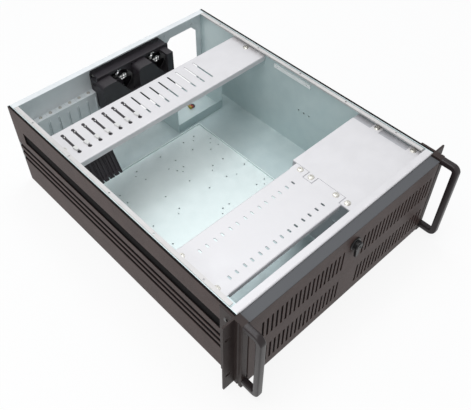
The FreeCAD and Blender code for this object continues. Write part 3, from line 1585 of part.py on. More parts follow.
def lead_plug():
    """Small plug housing left on the cradle's floor, with the stubs of its leads side by side."""
    right = cradle_right - plug_inset
    left = right - plug_width
    front = cradle_front + plug_back
    floor = 2 * sheet
    housing = box(left, right, front, front + plug_depth, floor, floor + plug_height)
    pitch = plug_width / plug_lead_count
    stubs = []
    for i in range(plug_lead_count):
        middle = left + pitch * (i + 0.5)
        stubs.append(box(middle - plug_lead_size / 2, middle + plug_lead_size / 2, front + plug_depth / 2,
                         front + plug_depth + plug_lead_length,
                         floor + plug_height / 2 - plug_lead_size / 2,
                         floor + plug_height / 2 + plug_lead_size / 2))
    return fuse(housing, *stubs)


def wall_strip():
    x = inner_half_width - strip_thickness
    strip = box(x, inner_half_width, strip_front, strip_front + strip_length, strip_low,
                strip_low + strip_height)
    drills = [hole(vec(x - past, y, strip_low + strip_height / 2), AXIS_X, strip_hole_radius,
                   strip_thickness + 2 * past)
              for y in (strip_front + strip_hole_inset, strip_front + strip_length - strip_hole_inset)]
    return cut(strip, *drills)


def build():
    nodes = {}
    nodes["chassis_tub"] = chassis_tub()
    skin = side_skin()
    nodes["side_skin_right"] = skin
    nodes["side_skin_left"] = mirrored(skin)
    rail = top_rail()
    nodes["top_rails"] = group([rail, mirrored(rail)])
    nodes["front_panel"] = front_panel()
    nodes["rear_panel"] = rear_panel()
    for i in range(cover_count):
        nodes["slot_cover_%d" % (i + 1)] = slot_cover(i)
    nodes["slot_cover_screws"] = group([cover_screw(i) for i in range(cover_count)])
    ear = rack_ear()
    nodes["rack_ear_right"] = ear
    nodes["rack_ear_left"] = mirrored(ear)
    bow = handle()
    nodes["handle_right"] = bow
    nodes["handle_left"] = mirrored(bow)
    nodes["handle_screws"] = group([handle_screw(side * handle_centre, z) for side in (-1, 1)
                                    for z in handle_arm_heights()])
    screws = [ear_screw(z) for z in ear_screw_heights()]
    nodes["ear_screws"] = group(screws + [mirrored(screw) for screw in screws])
    nodes["front_door"] = front_door()
    pin = hinge_pin()
    nodes["door_hinge_pins"] = group([pin, mirrored(pin)])
    nodes["door_filters"] = group(door_filters())
    nodes["latch_barrel"] = latch_barrel()
    nodes["latch_knob"] = latch_knob()
    nodes["latch_cam"] = latch_cam()
    nodes["bay_blanks"] = group([bay_blank(i) for i in range(bay_count)])
    nodes["power_button"] = push_button(power_button_z, power_button_radius)
    nodes["reset_button"] = push_button(reset_button_z, reset_button_radius)
    nodes["switch_blocks"] = group([switch_block(power_button_z, power_button_radius),
                                    switch_block(reset_button_z, reset_button_radius)])
    nodes["status_lamps"] = group([status_lamp(z) for z in lamp_heights()])
    nodes["holddown_bar"] = holddown_bar()
    nodes["wall_ledges"] = group(wall_ledges())
    nodes["bar_screws"] = group([washer_screw(x, y, screw_length - sheet) for x, y in bar_screw_places()])
    nodes["arm_guides"] = group([arm_guide(i) for i in range(arm_count)])
    nodes["guide_thumbs"] = group([piece(i) for i in range(arm_count) for piece in (guide_thumb, eye_peg)])
    for i in range(arm_count):
        nodes["card_arm_%d" % (i + 1)] = card_arm(i)
    nodes["drive_tray"] = drive_tray()
    nodes["tray_screws"] = group([washer_screw(x, y, screw_length) for x, y in tray_screw_places()])
    nodes["drive_cage"] = drive_cage()
    nodes["cage_cover"] = cage_cover()
    nodes["cage_screws"] = group([washer_screw(x, y, screw_length) for x, y in cage_screw_places()])
    nodes["fan_holder"] = fan_holder()
    for name, x in zip(("left", "right"), fan_centres):
        nodes["fan_frame_" + name] = fan_frame(x)
        nodes["fan_rotor_" + name] = fan_rotor(x)
    nodes["finger_guards"] = group([finger_guard(x) for x in fan_centres])
    nodes["fan_screws"] = group([fan_screw(hx, hz) for x in fan_centres for hx, hz in fan_hole_places(x)])
    nodes["motherboard_tray"] = motherboard_tray()
    nodes["psu_cradle"] = psu_cradle()
    nodes["lead_plug"] = lead_plug()
    nodes["wall_strip"] = wall_strip()
    return nodes


def main():
    os.makedirs("parts", exist_ok=True)
    nodes = build()
    middle = (handle_front + body_depth + guard_thickness + fan_screw_head_height) / 2
    for name, shape in nodes.items():
        moved = shape.copy()
        moved.translate(vec(0, -middle, 0))
        moved.exportStep("parts/%s.step" % name)
        solids = moved.Solids
        print("%-20s solids %2d valid %s volume %10.1f" % (name, len(solids), moved.isValid(),
                                                           moved.Volume))
    print("nodes", len(nodes), "middle", middle)


main()
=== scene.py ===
import math
import bpy
import numpy as np
from mathutils import Matrix, Vector


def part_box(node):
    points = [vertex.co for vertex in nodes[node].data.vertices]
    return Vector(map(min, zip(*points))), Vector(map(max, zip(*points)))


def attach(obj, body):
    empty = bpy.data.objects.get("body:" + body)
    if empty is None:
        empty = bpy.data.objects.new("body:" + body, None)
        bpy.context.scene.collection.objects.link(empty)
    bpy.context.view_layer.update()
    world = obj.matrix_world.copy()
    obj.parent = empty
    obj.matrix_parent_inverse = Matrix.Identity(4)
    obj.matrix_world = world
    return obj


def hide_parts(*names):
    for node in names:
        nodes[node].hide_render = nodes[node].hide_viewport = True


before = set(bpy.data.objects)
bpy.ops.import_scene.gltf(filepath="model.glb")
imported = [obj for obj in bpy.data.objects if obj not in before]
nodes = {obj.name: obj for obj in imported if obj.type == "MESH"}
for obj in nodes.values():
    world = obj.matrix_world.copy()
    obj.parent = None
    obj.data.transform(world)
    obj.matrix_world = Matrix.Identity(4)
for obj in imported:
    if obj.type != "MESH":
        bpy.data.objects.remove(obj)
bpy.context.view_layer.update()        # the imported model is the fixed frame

mm = 0.001
print("stage: frame loaded,", len(nodes), "nodes")


# camera: above the left front corner, looking across the open top
cameraSet = {
    "place": (-0.502833, -0.551153, 0.869448),
    "ahead": (0.45251409, 0.47034989, -0.75762919),
    "right": (0.72553185, -0.68816138, 0.00612008),
    "lens": 47.86, "sensor": 36.0, "near": 0.01,
}


def makeCamera():
    ahead = Vector(cameraSet["ahead"]).normalized()
    right = Vector(cameraSet["right"])
    right = (right - ahead * right.dot(ahead)).normalized()
    up = right.cross(ahead)
    turn = Matrix((right, up, -ahead)).transposed()
    data = bpy.data.cameras.new("camera")
    data.lens = cameraSet["lens"]
    data.sensor_width = cameraSet["sensor"]
    data.clip_start = cameraSet["near"]
    camera = bpy.data.objects.new("camera", data)
    camera.matrix_world = Matrix.Translation(cameraSet["place"]) @ turn.to_4x4()
    bpy.context.scene.collection.objects.link(camera)
    bpy.context.scene.camera = camera


# lights: a soft panel overhead, a smaller one high behind at the right, the weakest lower down at the
# left, and a pale room
lightSet = {
    "roomColour": (0.95, 0.97, 1.0), "roomStrength": 0.43,
    "panels": {
        "overhead": {"place": (-0.5, -0.1, 2.2), "aim": (0.0, 0.0, 0.0), "size": (1.3, 1.3), "power": 20.0,
                     "colour": (1.0, 0.995, 0.99)},
        "sheen": {"place": (0.5, 0.5, 2.0), "aim": (0.0, -0.2, 0.15), "size": (0.7, 0.7), "power": 9.0,
                  "colour": (0.93, 0.97, 1.0)},
        "left": {"place": (-2.2, -0.4, 0.9), "aim": (0.0, 0.0, 0.05), "size": (1.4, 0.9), "power": 7.0,
                 "colour": (1.0, 0.975, 0.96)},
    },
}


def makeLights():
    for name, panel in lightSet["panels"].items():
        data = bpy.data.lights.new(name, "AREA")
        data.shape = "RECTANGLE"
        data.size, data.size_y = panel["size"]
        data.energy = panel["power"]
        data.color = panel["colour"]
        lamp = bpy.data.objects.new(name, data)
        place = Vector(panel["place"])
        aim = Vector(panel["aim"]) - place
        lamp.matrix_world = Matrix.Translation(place) @ aim.to_track_quat("-Z", "Y").to_matrix().to_4x4()
        bpy.context.scene.collection.objects.link(lamp)


# 1 for rays that look straight, by mirror or through glass, and 0 for rays that carry light
def sightRay(tree):
    path = tree.nodes.new("ShaderNodeLightPath")
    value = path.outputs["Is Camera Ray"]
    for kind in ("Is Glossy Ray", "Is Transmission Ray"):
        larger = tree.nodes.new("ShaderNodeMath")
        larger.operation = "MAXIMUM"
        tree.links.new(value, larger.inputs[0])
        tree.links.new(path.outputs[kind], larger.inputs[1])
        value = larger.outputs[0]
    return value


def makeRoom():
    world = bpy.data.worlds.new("room")
    world.use_nodes = True
    tree = world.node_tree
    tree.nodes.clear()
    lit = tree.nodes.new("ShaderNodeBackground")
    lit.inputs["Color"].default_value = (*lightSet["roomColour"], 1.0)
    lit.inputs["Strength"].default_value = lightSet["roomStrength"]
    seen = tree.nodes.new("ShaderNodeBackground")
    seen.inputs["Color"].default_value = plainWhite
    mix = tree.nodes.new("ShaderNodeMixShader")
    out = tree.nodes.new("ShaderNodeOutputWorld")
    tree.links.new(sightRay(tree), mix.inputs[0])
    tree.links.new(lit.outputs[0], mix.inputs[1])
    tree.links.new(seen.outputs[0], mix.inputs[2])
    tree.links.new(mix.outputs[0], out.inputs[0])
    bpy.context.scene.world = world
    bpy.context.scene.view_settings.view_transform = "Standard"


plainWhite = (1.0, 1.0, 1.0, 1.0)
floorSet = {"size": 9.0, "drop": 0.0005, "colour": (0.97, 0.97, 0.97), "shadowKept": 0.13}


# a flat square under the case, white to the eye but keeping some of the shadow
def makeFloor():
    half = floorSet["size"] / 2
    mesh = bpy.data.meshes.new("floor")
    z = -floorSet["drop"]
    corners = [(-half, -half, z), (half, -half, z), (half, half, z), (-half, half, z)]
    mesh.from_pydata(corners, [], [(0, 1, 2, 3)])
    floor = bpy.data.objects.new("floor", mesh)
    bpy.context.scene.collection.objects.link(floor)
    mat = bpy.data.materials.new("floorPaper")
    mat.use_nodes = True
    tree = mat.node_tree
    tree.nodes.clear()
    paper = tree.nodes.new("ShaderNodeBsdfDiffuse")
    paper.inputs["Color"].default_value = (*floorSet["colour"], 1.0)
    white = tree.nodes.new("ShaderNodeEmission")
    white.inputs["Color"].default_value = plainWhite
    share = tree.nodes.new("ShaderNodeMath")
    share.operation = "MULTIPLY"
    share.inputs[1].default_value = 1.0 - floorSet["shadowKept"]
    mix = tree.nodes.new("ShaderNodeMixShader")
    out = tree.nodes.new("ShaderNodeOutputMaterial")
    tree.links.new(sightRay(tree), share.inputs[0])
    tree.links.new(share.outputs[0], mix.inputs[0])
    tree.links.new(paper.outputs[0], mix.inputs[1])
    tree.links.new(white.outputs[0], mix.inputs[2])
    tree.links.new(mix.outputs[0], out.inputs[0])
    mesh.materials.append(mat)


makeCamera()
makeLights()
makeRoom()
makeFloor()
print("stage: camera, lights and floor")


# small helpers for building a material from nodes
def newMaterial(name):
    mat = bpy.data.materials.new(name)
    mat.use_nodes = True
    tree = mat.node_tree
    tree.nodes.clear()
    shader = tree.nodes.new("ShaderNodeBsdfPrincipled")
    out = tree.nodes.new("ShaderNodeOutputMaterial")
    tree.links.new(shader.outputs[0], out.inputs[0])
    return mat, tree, shader


def placeOnPiece(tree, stretch=(1.0, 1.0, 1.0)):
    coords = tree.nodes.new("ShaderNodeTexCoord")
    mapping = tree.nodes.new("ShaderNodeMapping")
    mapping.inputs["Scale"].default_value = stretch
    tree.links.new(coords.outputs["Object"], mapping.inputs["Vector"])
    return mapping.outputs["Vector"]


def objectAxis(tree, axis):
    coords = tree.nodes.new("ShaderNodeTexCoord")
    split = tree.nodes.new("ShaderNodeSeparateXYZ")
    tree.links.new(coords.outputs["Object"], split.inputs[0])
    return split.outputs[axis]


def cloudNoise(tree, size, detail, stretch=(1.0, 1.0, 1.0)):
    noise = tree.nodes.new("ShaderNodeTexNoise")
    noise.inputs["Scale"].default_value = 1.0 / size
    noise.inputs["Detail"].default_value = detail
    tree.links.new(placeOnPiece(tree, stretch), noise.inputs["Vector"])
    return noise.outputs["Fac"]


def spread(tree, value, low, high, fromLow=0.3, fromHigh=0.7):
    ranged = tree.nodes.new("ShaderNodeMapRange")
    ranged.inputs["From Min"].default_value = fromLow
    ranged.inputs["From Max"].default_value = fromHigh
    ranged.inputs["To Min"].default_value = low
    ranged.inputs["To Max"].default_value = high
    tree.links.new(value, ranged.inputs["Value"])
    return ranged.outputs["Result"]


# first and second are each a fixed colour or the output of another node
def blendColours(tree, factor, first, second):
    mix = tree.nodes.new("ShaderNodeMix")
    mix.data_type = "RGBA"
    for place, colour in ((6, first), (7, second)):
        if isinstance(colour, bpy.types.NodeSocket):
            tree.links.new(colour, mix.inputs[place])
        else:
            mix.inputs[place].default_value = (*colour, 1.0)
    tree.links.new(factor, mix.inputs[0])
    return mix.outputs[2]


def tint(tree, shader, cloud, first, second):
    colour = blendColours(tree, spread(tree, cloud, 0.0, 1.0), first, second)
    tree.links.new(colour, shader.inputs["Base Color"])


def roughen(tree, shader, cloud, look):
    tree.links.new(spread(tree, cloud, look["roughLow"], look["roughHigh"]), shader.inputs["Roughness"])


def raiseSurface(tree, shader, height, depth, strength=1.0):
    bump = tree.nodes.new("ShaderNodeBump")
    bump.inputs["Strength"].default_value = strength
    bump.inputs["Distance"].default_value = depth
    tree.links.new(height, bump.inputs["Height"])
    tree.links.new(bump.outputs["Normal"], shader.inputs["Normal"])


# zinc-plated sheet: pale grey with a soft cloudy spangle and fine rolling grain; its blue-green copy for
# inside the case is painted shade
zincLook = {
    "pale": (0.725, 0.715, 0.73), "deep": (0.695, 0.685, 0.70), "metal": 0.12,
    "roughLow": 0.4, "roughHigh": 0.52, "cloud": 0.022, "cloudDetail": 4.0,
    "grain": 0.0009, "grainDetail": 2.0, "grainStretch": (1.0, 0.06, 1.0),
    "grainDepth": 0.00002, "grainStrength": 0.5,
}
# copy of the zinc with painted shade: darker and blue-green, for the walls, ledges, cradle and fan screens in
# the shade inside the case
shadeTealLook = dict(zincLook, pale=(0.59, 0.685, 0.69), deep=(0.54, 0.64, 0.65), metal=0.3)
rimLook = dict(zincLook, pale=(0.655, 0.64, 0.63), deep=(0.58, 0.565, 0.56))
rearLook = dict(zincLook, pale=(0.80, 0.835, 0.85), deep=(0.745, 0.78, 0.795))
# the board's copy of the shaded zinc: the painted-shade blue-green, made much brighter as painted light on
# the case floor
boardShadeAndLightLook = dict(shadeTealLook, pale=(0.835, 0.92, 0.915), deep=(0.79, 0.88, 0.875))
coverLook = dict(zincLook, pale=(0.78, 0.81, 0.825), deep=(0.70, 0.74, 0.755))
# darker copy of the zinc for the drive cage: painted shade on its side walls
shadeCageLook = dict(zincLook, pale=(0.50, 0.505, 0.53), deep=(0.44, 0.445, 0.465))
# brighter, whiter copy of the zinc for the wall strip: painted light, as the strip faces away from the lamps
litStripLook = dict(zincLook, pale=(0.94, 0.96, 0.96), deep=(0.89, 0.91, 0.91), metal=0.1)


def zincSheet(name="zincSheet", look=zincLook):
    mat, tree, shader = newMaterial(name)
    clouds = cloudNoise(tree, look["cloud"], look["cloudDetail"])
    tint(tree, shader, clouds, look["deep"], look["pale"])
    roughen(tree, shader, clouds, look)
    shader.inputs["Metallic"].default_value = look["metal"]
    grain = cloudNoise(tree, look["grain"], look["grainDetail"], look["grainStretch"])
    raiseSurface(tree, shader, grain, look["grainDepth"], look["grainStrength"])
    return mat


# textured powder paint: very dark warm grey with a fine orange-peel surface
paintLook = {
    "dark": (0.041, 0.0230, 0.0200), "light": (0.056, 0.0330, 0.0290), "roughLow": 0.44, "roughHigh": 0.56,
    "peel": 0.0011, "peelDetail": 2.0, "peelDepth": 0.0001, "peelStrength": 0.6, "patch": 0.03,
    "patchDetail": 3.0, "shine": 0.22,
}
# darker copy of the paint for the rack ears: painted shade
shadeEarLook = dict(paintLook, dark=(0.024, 0.0155, 0.014), light=(0.035, 0.024, 0.022))
handleLook = dict(paintLook, dark=(0.013, 0.009, 0.010), light=(0.022, 0.016, 0.017), roughLow=0.3,
                  roughHigh=0.38, peel=0.0007, peelDepth=0.00002, patch=0.02, shine=0.3)


def powderPaint(name, look=paintLook):
    mat, tree, shader = newMaterial(name)
    patches = cloudNoise(tree, look["patch"], look["patchDetail"])
    tint(tree, shader, patches, look["dark"], look["light"])
    peel = cloudNoise(tree, look["peel"], look["peelDetail"])
    roughen(tree, shader, peel, look)
    raiseSurface(tree, shader, peel, look["peelDepth"], look["peelStrength"])
    shader.inputs["Specular IOR Level"].default_value = look["shine"]
    return mat


# a material's tree, its shader, and what feeds the shader's base colour
def coatOf(mat):
    tree = mat.node_tree
    shader = next(n for n in tree.nodes if n.type == "BSDF_PRINCIPLED")
    return tree, shader, shader.inputs["Base Color"].links[0].from_socket


# side skins: the same paint, with painted shade: nearly black where the sheet is pressed in from the outer
# face, in place of the shadow in those recesses
skinRecessShadeSet = {"face": 0.2182, "dip": 0.0005, "blend": 0.0004, "pressed": (0.001, 0.0005, 0.0006), "dull": 0.95}


def skinPaint():
    mat = powderPaint("skinPaint")
    tree, shader, coat = coatOf(mat)
    away = tree.nodes.new("ShaderNodeMath")
    away.operation = "ABSOLUTE"
    tree.links.new(objectAxis(tree, "X"), away.inputs[0])
    edge = skinRecessShadeSet["face"] - skinRecessShadeSet["dip"]
    outer = spread(tree, away.outputs[0], 0.0, 1.0, edge - skinRecessShadeSet["blend"], edge)
    # painted shade: the pressed-in recesses take the near-black colour
    tree.links.new(blendColours(tree, outer, skinRecessShadeSet["pressed"], coat), shader.inputs["Base Color"])
    peel = shader.inputs["Roughness"].links[0].from_socket
    gloss = tree.nodes.new("ShaderNodeMix")
    gloss.inputs[2].default_value = skinRecessShadeSet["dull"]
    tree.links.new(peel, gloss.inputs[3])
    tree.links.new(outer, gloss.inputs[0])
    tree.links.new(gloss.outputs[0], shader.inputs["Roughness"])
    return mat


# front door: the top face over the folded top edge is painted lighter and greyer, partly the paint's own
# cooler tone there and partly a painted sheen in place of the reflection of the light above
doorTopSheenSet = {"fold": 0.0009, "blend": 0.0006, "thin": (0.098, 0.101, 0.108)}


def doorPaint():
    mat = powderPaint("doorPaint")
    tree, shader, coat = coatOf(mat)
    low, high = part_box("front_door")
    edge = high[2] - doorTopSheenSet["fold"]
    raised = spread(tree, objectAxis(tree, "Z"), 0.0, 1.0, edge, edge + doorTopSheenSet["blend"])
    # painted sheen: the top face takes the lighter grey colour
    tree.links.new(blendColours(tree, raised, coat, doorTopSheenSet["thin"]), shader.inputs["Base Color"])
    return mat


# moulded plastic: near-black with a faint grain
plasticLook = {
    "dark": (0.014, 0.012, 0.015), "light": (0.026, 0.022, 0.027), "roughLow": 0.37, "roughHigh": 0.49,
    "grain": 0.0007, "grainDetail": 2.0, "grainDepth": 0.00004, "grainStrength": 0.4, "shine": 0.42,
}
glossLook = dict(plasticLook, dark=(0.008, 0.008, 0.009), light=(0.014, 0.014, 0.015), roughLow=0.31,
                 roughHigh=0.43, grain=0.001, grainDepth=0.00001, shine=0.3)
paleLook = dict(plasticLook, dark=(0.66, 0.66, 0.65), light=(0.74, 0.74, 0.73), roughLow=0.40, roughHigh=0.52,
                grain=0.001, grainDepth=0.00002, shine=0.5)
greyLook = dict(paleLook, dark=(0.30, 0.30, 0.31), light=(0.36, 0.36, 0.37), roughLow=0.35, roughHigh=0.47)


def mouldedPlastic(name="mouldedPlastic", look=plasticLook):
    mat, tree, shader = newMaterial(name)
    grain = cloudNoise(tree, look["grain"], look["grainDetail"])
    tint(tree, shader, grain, look["dark"], look["light"])
    roughen(tree, shader, grain, look)
    raiseSurface(tree, shader, grain, look["grainDepth"], look["grainStrength"])
    shader.inputs["Specular IOR Level"].default_value = look["shine"]
    return mat


# bright plated metal for screws, guards and pins
brightLook = {
    "colour": (0.60, 0.585, 0.54), "shade": (0.44, 0.43, 0.40), "roughLow": 0.26, "roughHigh": 0.38,
    "cloud": 0.003, "cloudDetail": 3.0, "metal": 0.9,
}
darkScrewLook = dict(brightLook, colour=(0.12, 0.12, 0.12), shade=(0.08, 0.08, 0.08), roughLow=0.3,
                     roughHigh=0.4, metal=1.0)


def brightMetal(name, look):
    mat, tree, shader = newMaterial(name)
    clouds = cloudNoise(tree, look["cloud"], look["cloudDetail"])
    tint(tree, shader, clouds, look["shade"], look["colour"])
    roughen(tree, shader, clouds, look)
    shader.inputs["Metallic"].default_value = look["metal"]
    return mat


# open-cell filter foam: black, with a pitted surface; made near-black as painted shade so the vents in the
# door read as dark
foamSet = {"dark": (0.001, 0.001, 0.001), "light": (0.007, 0.007, 0.008), "cell": 0.0016, "depth": 0.0005,
           "pitLow": 0.1, "pitHigh": 0.6, "rough": 0.95, "shine": 0.1}


def filterFoamAsShade():
    mat, tree, shader = newMaterial("filterFoamAsShade")
    cells = tree.nodes.new("ShaderNodeTexVoronoi")
    cells.inputs["Scale"].default_value = 1.0 / foamSet["cell"]
    tree.links.new(placeOnPiece(tree), cells.inputs["Vector"])
    pits = spread(tree, cells.outputs["Distance"], 0.0, 1.0, foamSet["pitLow"], foamSet["pitHigh"])
    tree.links.new(blendColours(tree, pits, foamSet["dark"], foamSet["light"]), shader.inputs["Base Color"])
    shader.inputs["Roughness"].default_value = foamSet["rough"]
    shader.inputs["Specular IOR Level"].default_value = foamSet["shine"]
    raiseSurface(tree, shader, pits, foamSet["depth"])
    return mat


# lead plug: three bands of colour across it, one for each lead, speckled a little towards the housing's dark
plugSet = {
    "housing": (0.02, 0.018, 0.018), "leads": ((0.45, 0.33, 0.04), (0.38, 0.03, 0.02), (0.02, 0.015, 0.015)),
    "stops": (0.0, 0.34, 0.66), "shade": 0.75, "speckle": 0.0012, "speckleDetail": 2.0, "rough": 0.5,
}


def leadPlug():
    mat, tree, shader = newMaterial("leadPlug")
    low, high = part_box("lead_plug")
    across = spread(tree, objectAxis(tree, "X"), 0.0, 1.0, low[0], high[0])
    ramp = tree.nodes.new("ShaderNodeValToRGB")
    ramp.color_ramp.interpolation = "CONSTANT"
    ramp.color_ramp.elements.new(plugSet["stops"][-1])
    for stop, place, colour in zip(ramp.color_ramp.elements, plugSet["stops"], plugSet["leads"]):
        stop.position = place
        stop.color = (*colour, 1.0)
    tree.links.new(across, ramp.inputs[0])
    noise = cloudNoise(tree, plugSet["speckle"], plugSet["speckleDetail"])
    speckle = spread(tree, noise, plugSet["shade"], 1.0)
    colour = blendColours(tree, speckle, plugSet["housing"], ramp.outputs[0])
    tree.links.new(colour, shader.inputs["Base Color"])
    shader.inputs["Roughness"].default_value = plugSet["rough"]
    return mat


looks = {
    "zinc": zincSheet(),
    "teal": zincSheet("shadeTealSheet", shadeTealLook),
    "board": zincSheet("boardShadeAndLightSheet", boardShadeAndLightLook),
    "cover": zincSheet("coverSheet", coverLook),
    "cage": zincSheet("shadeCageSheet", shadeCageLook),
    "rim": zincSheet("rimSheet", rimLook),
    "rear": zincSheet("rearSheet", rearLook),
    "strip": zincSheet("litStripSheet", litStripLook),
    "skin": skinPaint(),
    "door": doorPaint(),
    "foam": filterFoamAsShade(),
    "plug": leadPlug(),
    "ear": powderPaint("shadeEarPaint", shadeEarLook),
    "handle": powderPaint("handleFinish", handleLook),
    "plastic": mouldedPlastic(),
    "gloss": mouldedPlastic("glossPlastic", glossLook),
    "paleMoulding": mouldedPlastic("paleMoulding", paleLook),
    "greyMoulding": mouldedPlastic("greyMoulding", greyLook),
    "screw": brightMetal("brightScrew", brightLook),
    "darkScrew": brightMetal("darkScrew", darkScrewLook),
}

# which finish each node wears; a name that ends in a star covers all nodes that start so
finishes = {
    "chassis_tub": "teal", "top_rails": "rim", "front_panel": "zinc", "rear_panel": "rear",
    "slot_cover_*": "cover", "holddown_bar": "zinc", "wall_ledges": "teal", "drive_tray": "zinc",
    "drive_cage": "cage", "cage_cover": "zinc", "motherboard_tray": "board", "psu_cradle": "teal",
    "wall_strip": "strip", "latch_cam": "zinc", "door_filters": "foam", "lead_plug": "plug",
    "side_skin_*": "skin", "rack_ear_*": "ear", "front_door": "door", "handle_left": "handle",
    "handle_right": "handle", "arm_guides": "plastic", "card_arm_*": "plastic", "fan_*": "plastic",
    "bay_blanks": "plastic", "switch_blocks": "plastic", "latch_barrel": "gloss", "latch_knob": "gloss",
    "power_button": "greyMoulding", "reset_button": "greyMoulding", "status_lamps": "greyMoulding",
    "guide_thumbs": "paleMoulding", "slot_cover_screws": "screw", "bar_screws": "screw",
    "tray_screws": "screw", "cage_screws": "screw", "fan_screws": "screw", "door_hinge_pins": "screw",
    "finger_guards": "screw", "ear_screws": "darkScrew", "handle_screws": "darkScrew",
}


def finishFor(node):
    if node in finishes:
        return finishes[node]
    for pattern, look in finishes.items():
        if pattern.endswith("*") and node.startswith(pattern[:-1]):
            return look
    raise SystemExit("no finish for " + node)


def dressNodes():
    for name, obj in nodes.items():
        material = looks[finishFor(name)]
        if not obj.material_slots:
            obj.data.materials.append(material)
        for slot in obj.material_slots:
            slot.link = "OBJECT"
            slot.material = material


dressNodes()
print("stage: nodes dressed")

middleY = 0.25515        # how far the part's middle lies behind the back face of the rack ears


# faces of a grid of rings by spokes, whose last spoke joins the first
def gridFaces(rings, spokes):
    r = np.arange(rings - 1)[:, None] * spokes
    s = np.arange(spokes)[None, :]
    nextSpoke = (s + 1) % spokes
    quads = np.stack((r + s, r + nextSpoke, r + spokes + nextSpoke, r + spokes + s), -1)
    return quads.reshape(-1, 4)


# copies of one mesh at several places, each with its own turn, as one set of arrays
def scatter(verts, faces, places, turns=None):
    count = len(places)
    turned = np.repeat(verts[None], count, 0)
    if turns is not None:
        turned = np.einsum("kij,knj->kni", np.asarray(turns), turned)
    moved = turned + np.asarray(places)[:, None, :]
    stacked = faces[None] + (np.arange(count) * len(verts))[:, None, None]
    return moved.reshape(-1, 3), stacked.reshape(-1, faces.shape[1])


def joined(parts):
    verts = []
    faces = []
    offset = 0
    for partVerts, partFaces in parts:
        verts.append(partVerts)
        faces.append(partFaces + offset)
        offset += len(partVerts)
    return np.concatenate(verts), np.concatenate(faces)


def makePiece(name, verts, faces, look, body, stands, smooth=True):
    mesh = bpy.data.meshes.new(name)
    mesh.from_pydata(verts.tolist(), [], faces.tolist())
    mesh.polygons.foreach_set("use_smooth", [smooth] * len(mesh.polygons))
    mesh.update()
    mesh.materials.append(looks[look])
    obj = bpy.data.objects.new(name, mesh)
    bpy.context.scene.collection.objects.link(obj)
    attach(obj, body)
    if stands:
        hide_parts(*stands)


# points (radius, height) carried round Z; a repeated point makes a crisp edge
def lathe(profile, spokes):
    profile = np.asarray(profile, float)
    angle = np.arange(spokes) * 2 * np.pi / spokes
    verts = np.empty((len(profile), spokes, 3))
    verts[..., 0] = profile[:, :1] * np.cos(angle)
    verts[..., 1] = profile[:, :1] * np.sin(angle)
    verts[..., 2] = profile[:, 1:]
    return verts.reshape(-1, 3), gridFaces(len(profile), spokes)


# turn that sends Z to another axis
def towards(x, y, z):
    return np.array(Vector((0.0, 0.0, 1.0)).rotation_difference(Vector((x, y, z))).to_matrix())


# pan-head screw with a pressed cross: at radius r the head stands
# rise * (flat + (1 - flat) * sqrt(1 - bend * (r/R)^2)) over its washer, and inside the cross (narrow way
# < half width, long way < half length) it sinks by the depth over a short ramp
screwSet = {
    "form": {"rings": 15, "flat": 0.35, "bend": 0.75, "bevel": 0.2, "rim": 0.6},
    "shelf": {"head": 4.3, "rise": 1.75, "washer": 5.3, "thick": 0.85, "shank": 1.8, "length": 4.6,
              "ramp": 0.35, "crossWidth": 1.5, "crossLength": 4.8, "crossDepth": 0.9, "height": 165.0,
              "spokes": 48, "turnFirst": 0.6, "turnStep": 1.9,
              "bar": [(-203.3, 414.0), (203.3, 414.0)],
              "tray": [(-201.5, 52.0), (-201.5, 125.0), (42.0, 52.0), (42.0, 125.0)],
              "cage": [(42.0, 29.5), (42.0, 102.5), (206.0, 29.5), (206.0, 102.5)]},
    "cover": {"head": 3.1, "rise": 1.2, "washer": 3.1, "thick": 0.1, "shank": 1.4, "length": 2.0,
              "ramp": 0.25, "crossWidth": 1.0, "crossLength": 3.2, "crossDepth": 0.6, "height": 125.4,
              "spokes": 32, "first": -190.74, "pitch": 20.32, "count": 7, "back": 550.9},
}


def crossScrew(size):
    form = screwSet["form"]
    head, rise, washer, thick = size["head"], size["rise"], size["washer"], size["thick"]
    shank, length, flat = size["shank"], size["length"], form["flat"]
    radii = np.linspace(0.0, head, form["rings"])
    dome = thick + rise * (flat + (1 - flat) * np.sqrt(1 - form["bend"] * (radii / head) ** 2))
    top = np.stack((radii, dome), -1)
    side = [(head, dome[-1]), (head, thick), (head, thick), (washer - form["bevel"], thick),
            (washer, thick * form["rim"]), (washer, 0.0), (washer, 0.0), (shank, 0.0), (shank, 0.0),
            (shank, -length), (shank, -length), (0.0, -length)]
    verts, faces = lathe(np.concatenate((top, side)), size["spokes"])
    x, y = np.abs(verts[:, 0]), np.abs(verts[:, 1])
    narrow, wide = np.minimum(x, y), np.maximum(x, y)
    inWidth = np.clip((size["crossWidth"] / 2 - narrow) / size["ramp"], 0, 1)
    inLength = np.clip((size["crossLength"] / 2 - wide) / size["ramp"], 0, 1)
    isTop = np.arange(len(verts)) < form["rings"] * size["spokes"]
    verts[:, 2] -= np.where(isTop, inWidth * inLength * size["crossDepth"], 0.0)
    return verts * mm, faces[:, ::-1]


def makeShelfScrews():
    size = screwSet["shelf"]
    verts, faces = crossScrew(size)
    for group in ("bar", "tray", "cage"):
        places = np.array([(x * mm, y * mm - middleY, size["height"] * mm) for x, y in size[group]])
        angles = size["turnFirst"] + np.arange(len(places)) * size["turnStep"]
        turns = [np.array(Matrix.Rotation(a, 3, "Z")) for a in angles]
        allVerts, allFaces = scatter(verts, faces, places, turns)
        makePiece(group + "ScrewHeads", allVerts, allFaces, "screw", "case", (group + "_screws",))


def makeCoverScrews():
    size = screwSet["cover"]
    verts, faces = crossScrew(size)
    places = np.zeros((size["count"], 3))
    places[:, 0] = (size["first"] + size["pitch"] * np.arange(size["count"])) * mm
    places[:, 1] = size["back"] * mm - middleY
    places[:, 2] = size["height"] * mm
    makePiece("coverScrewHeads", *scatter(verts, faces, places), "screw", "case", ("slot_cover_screws",))


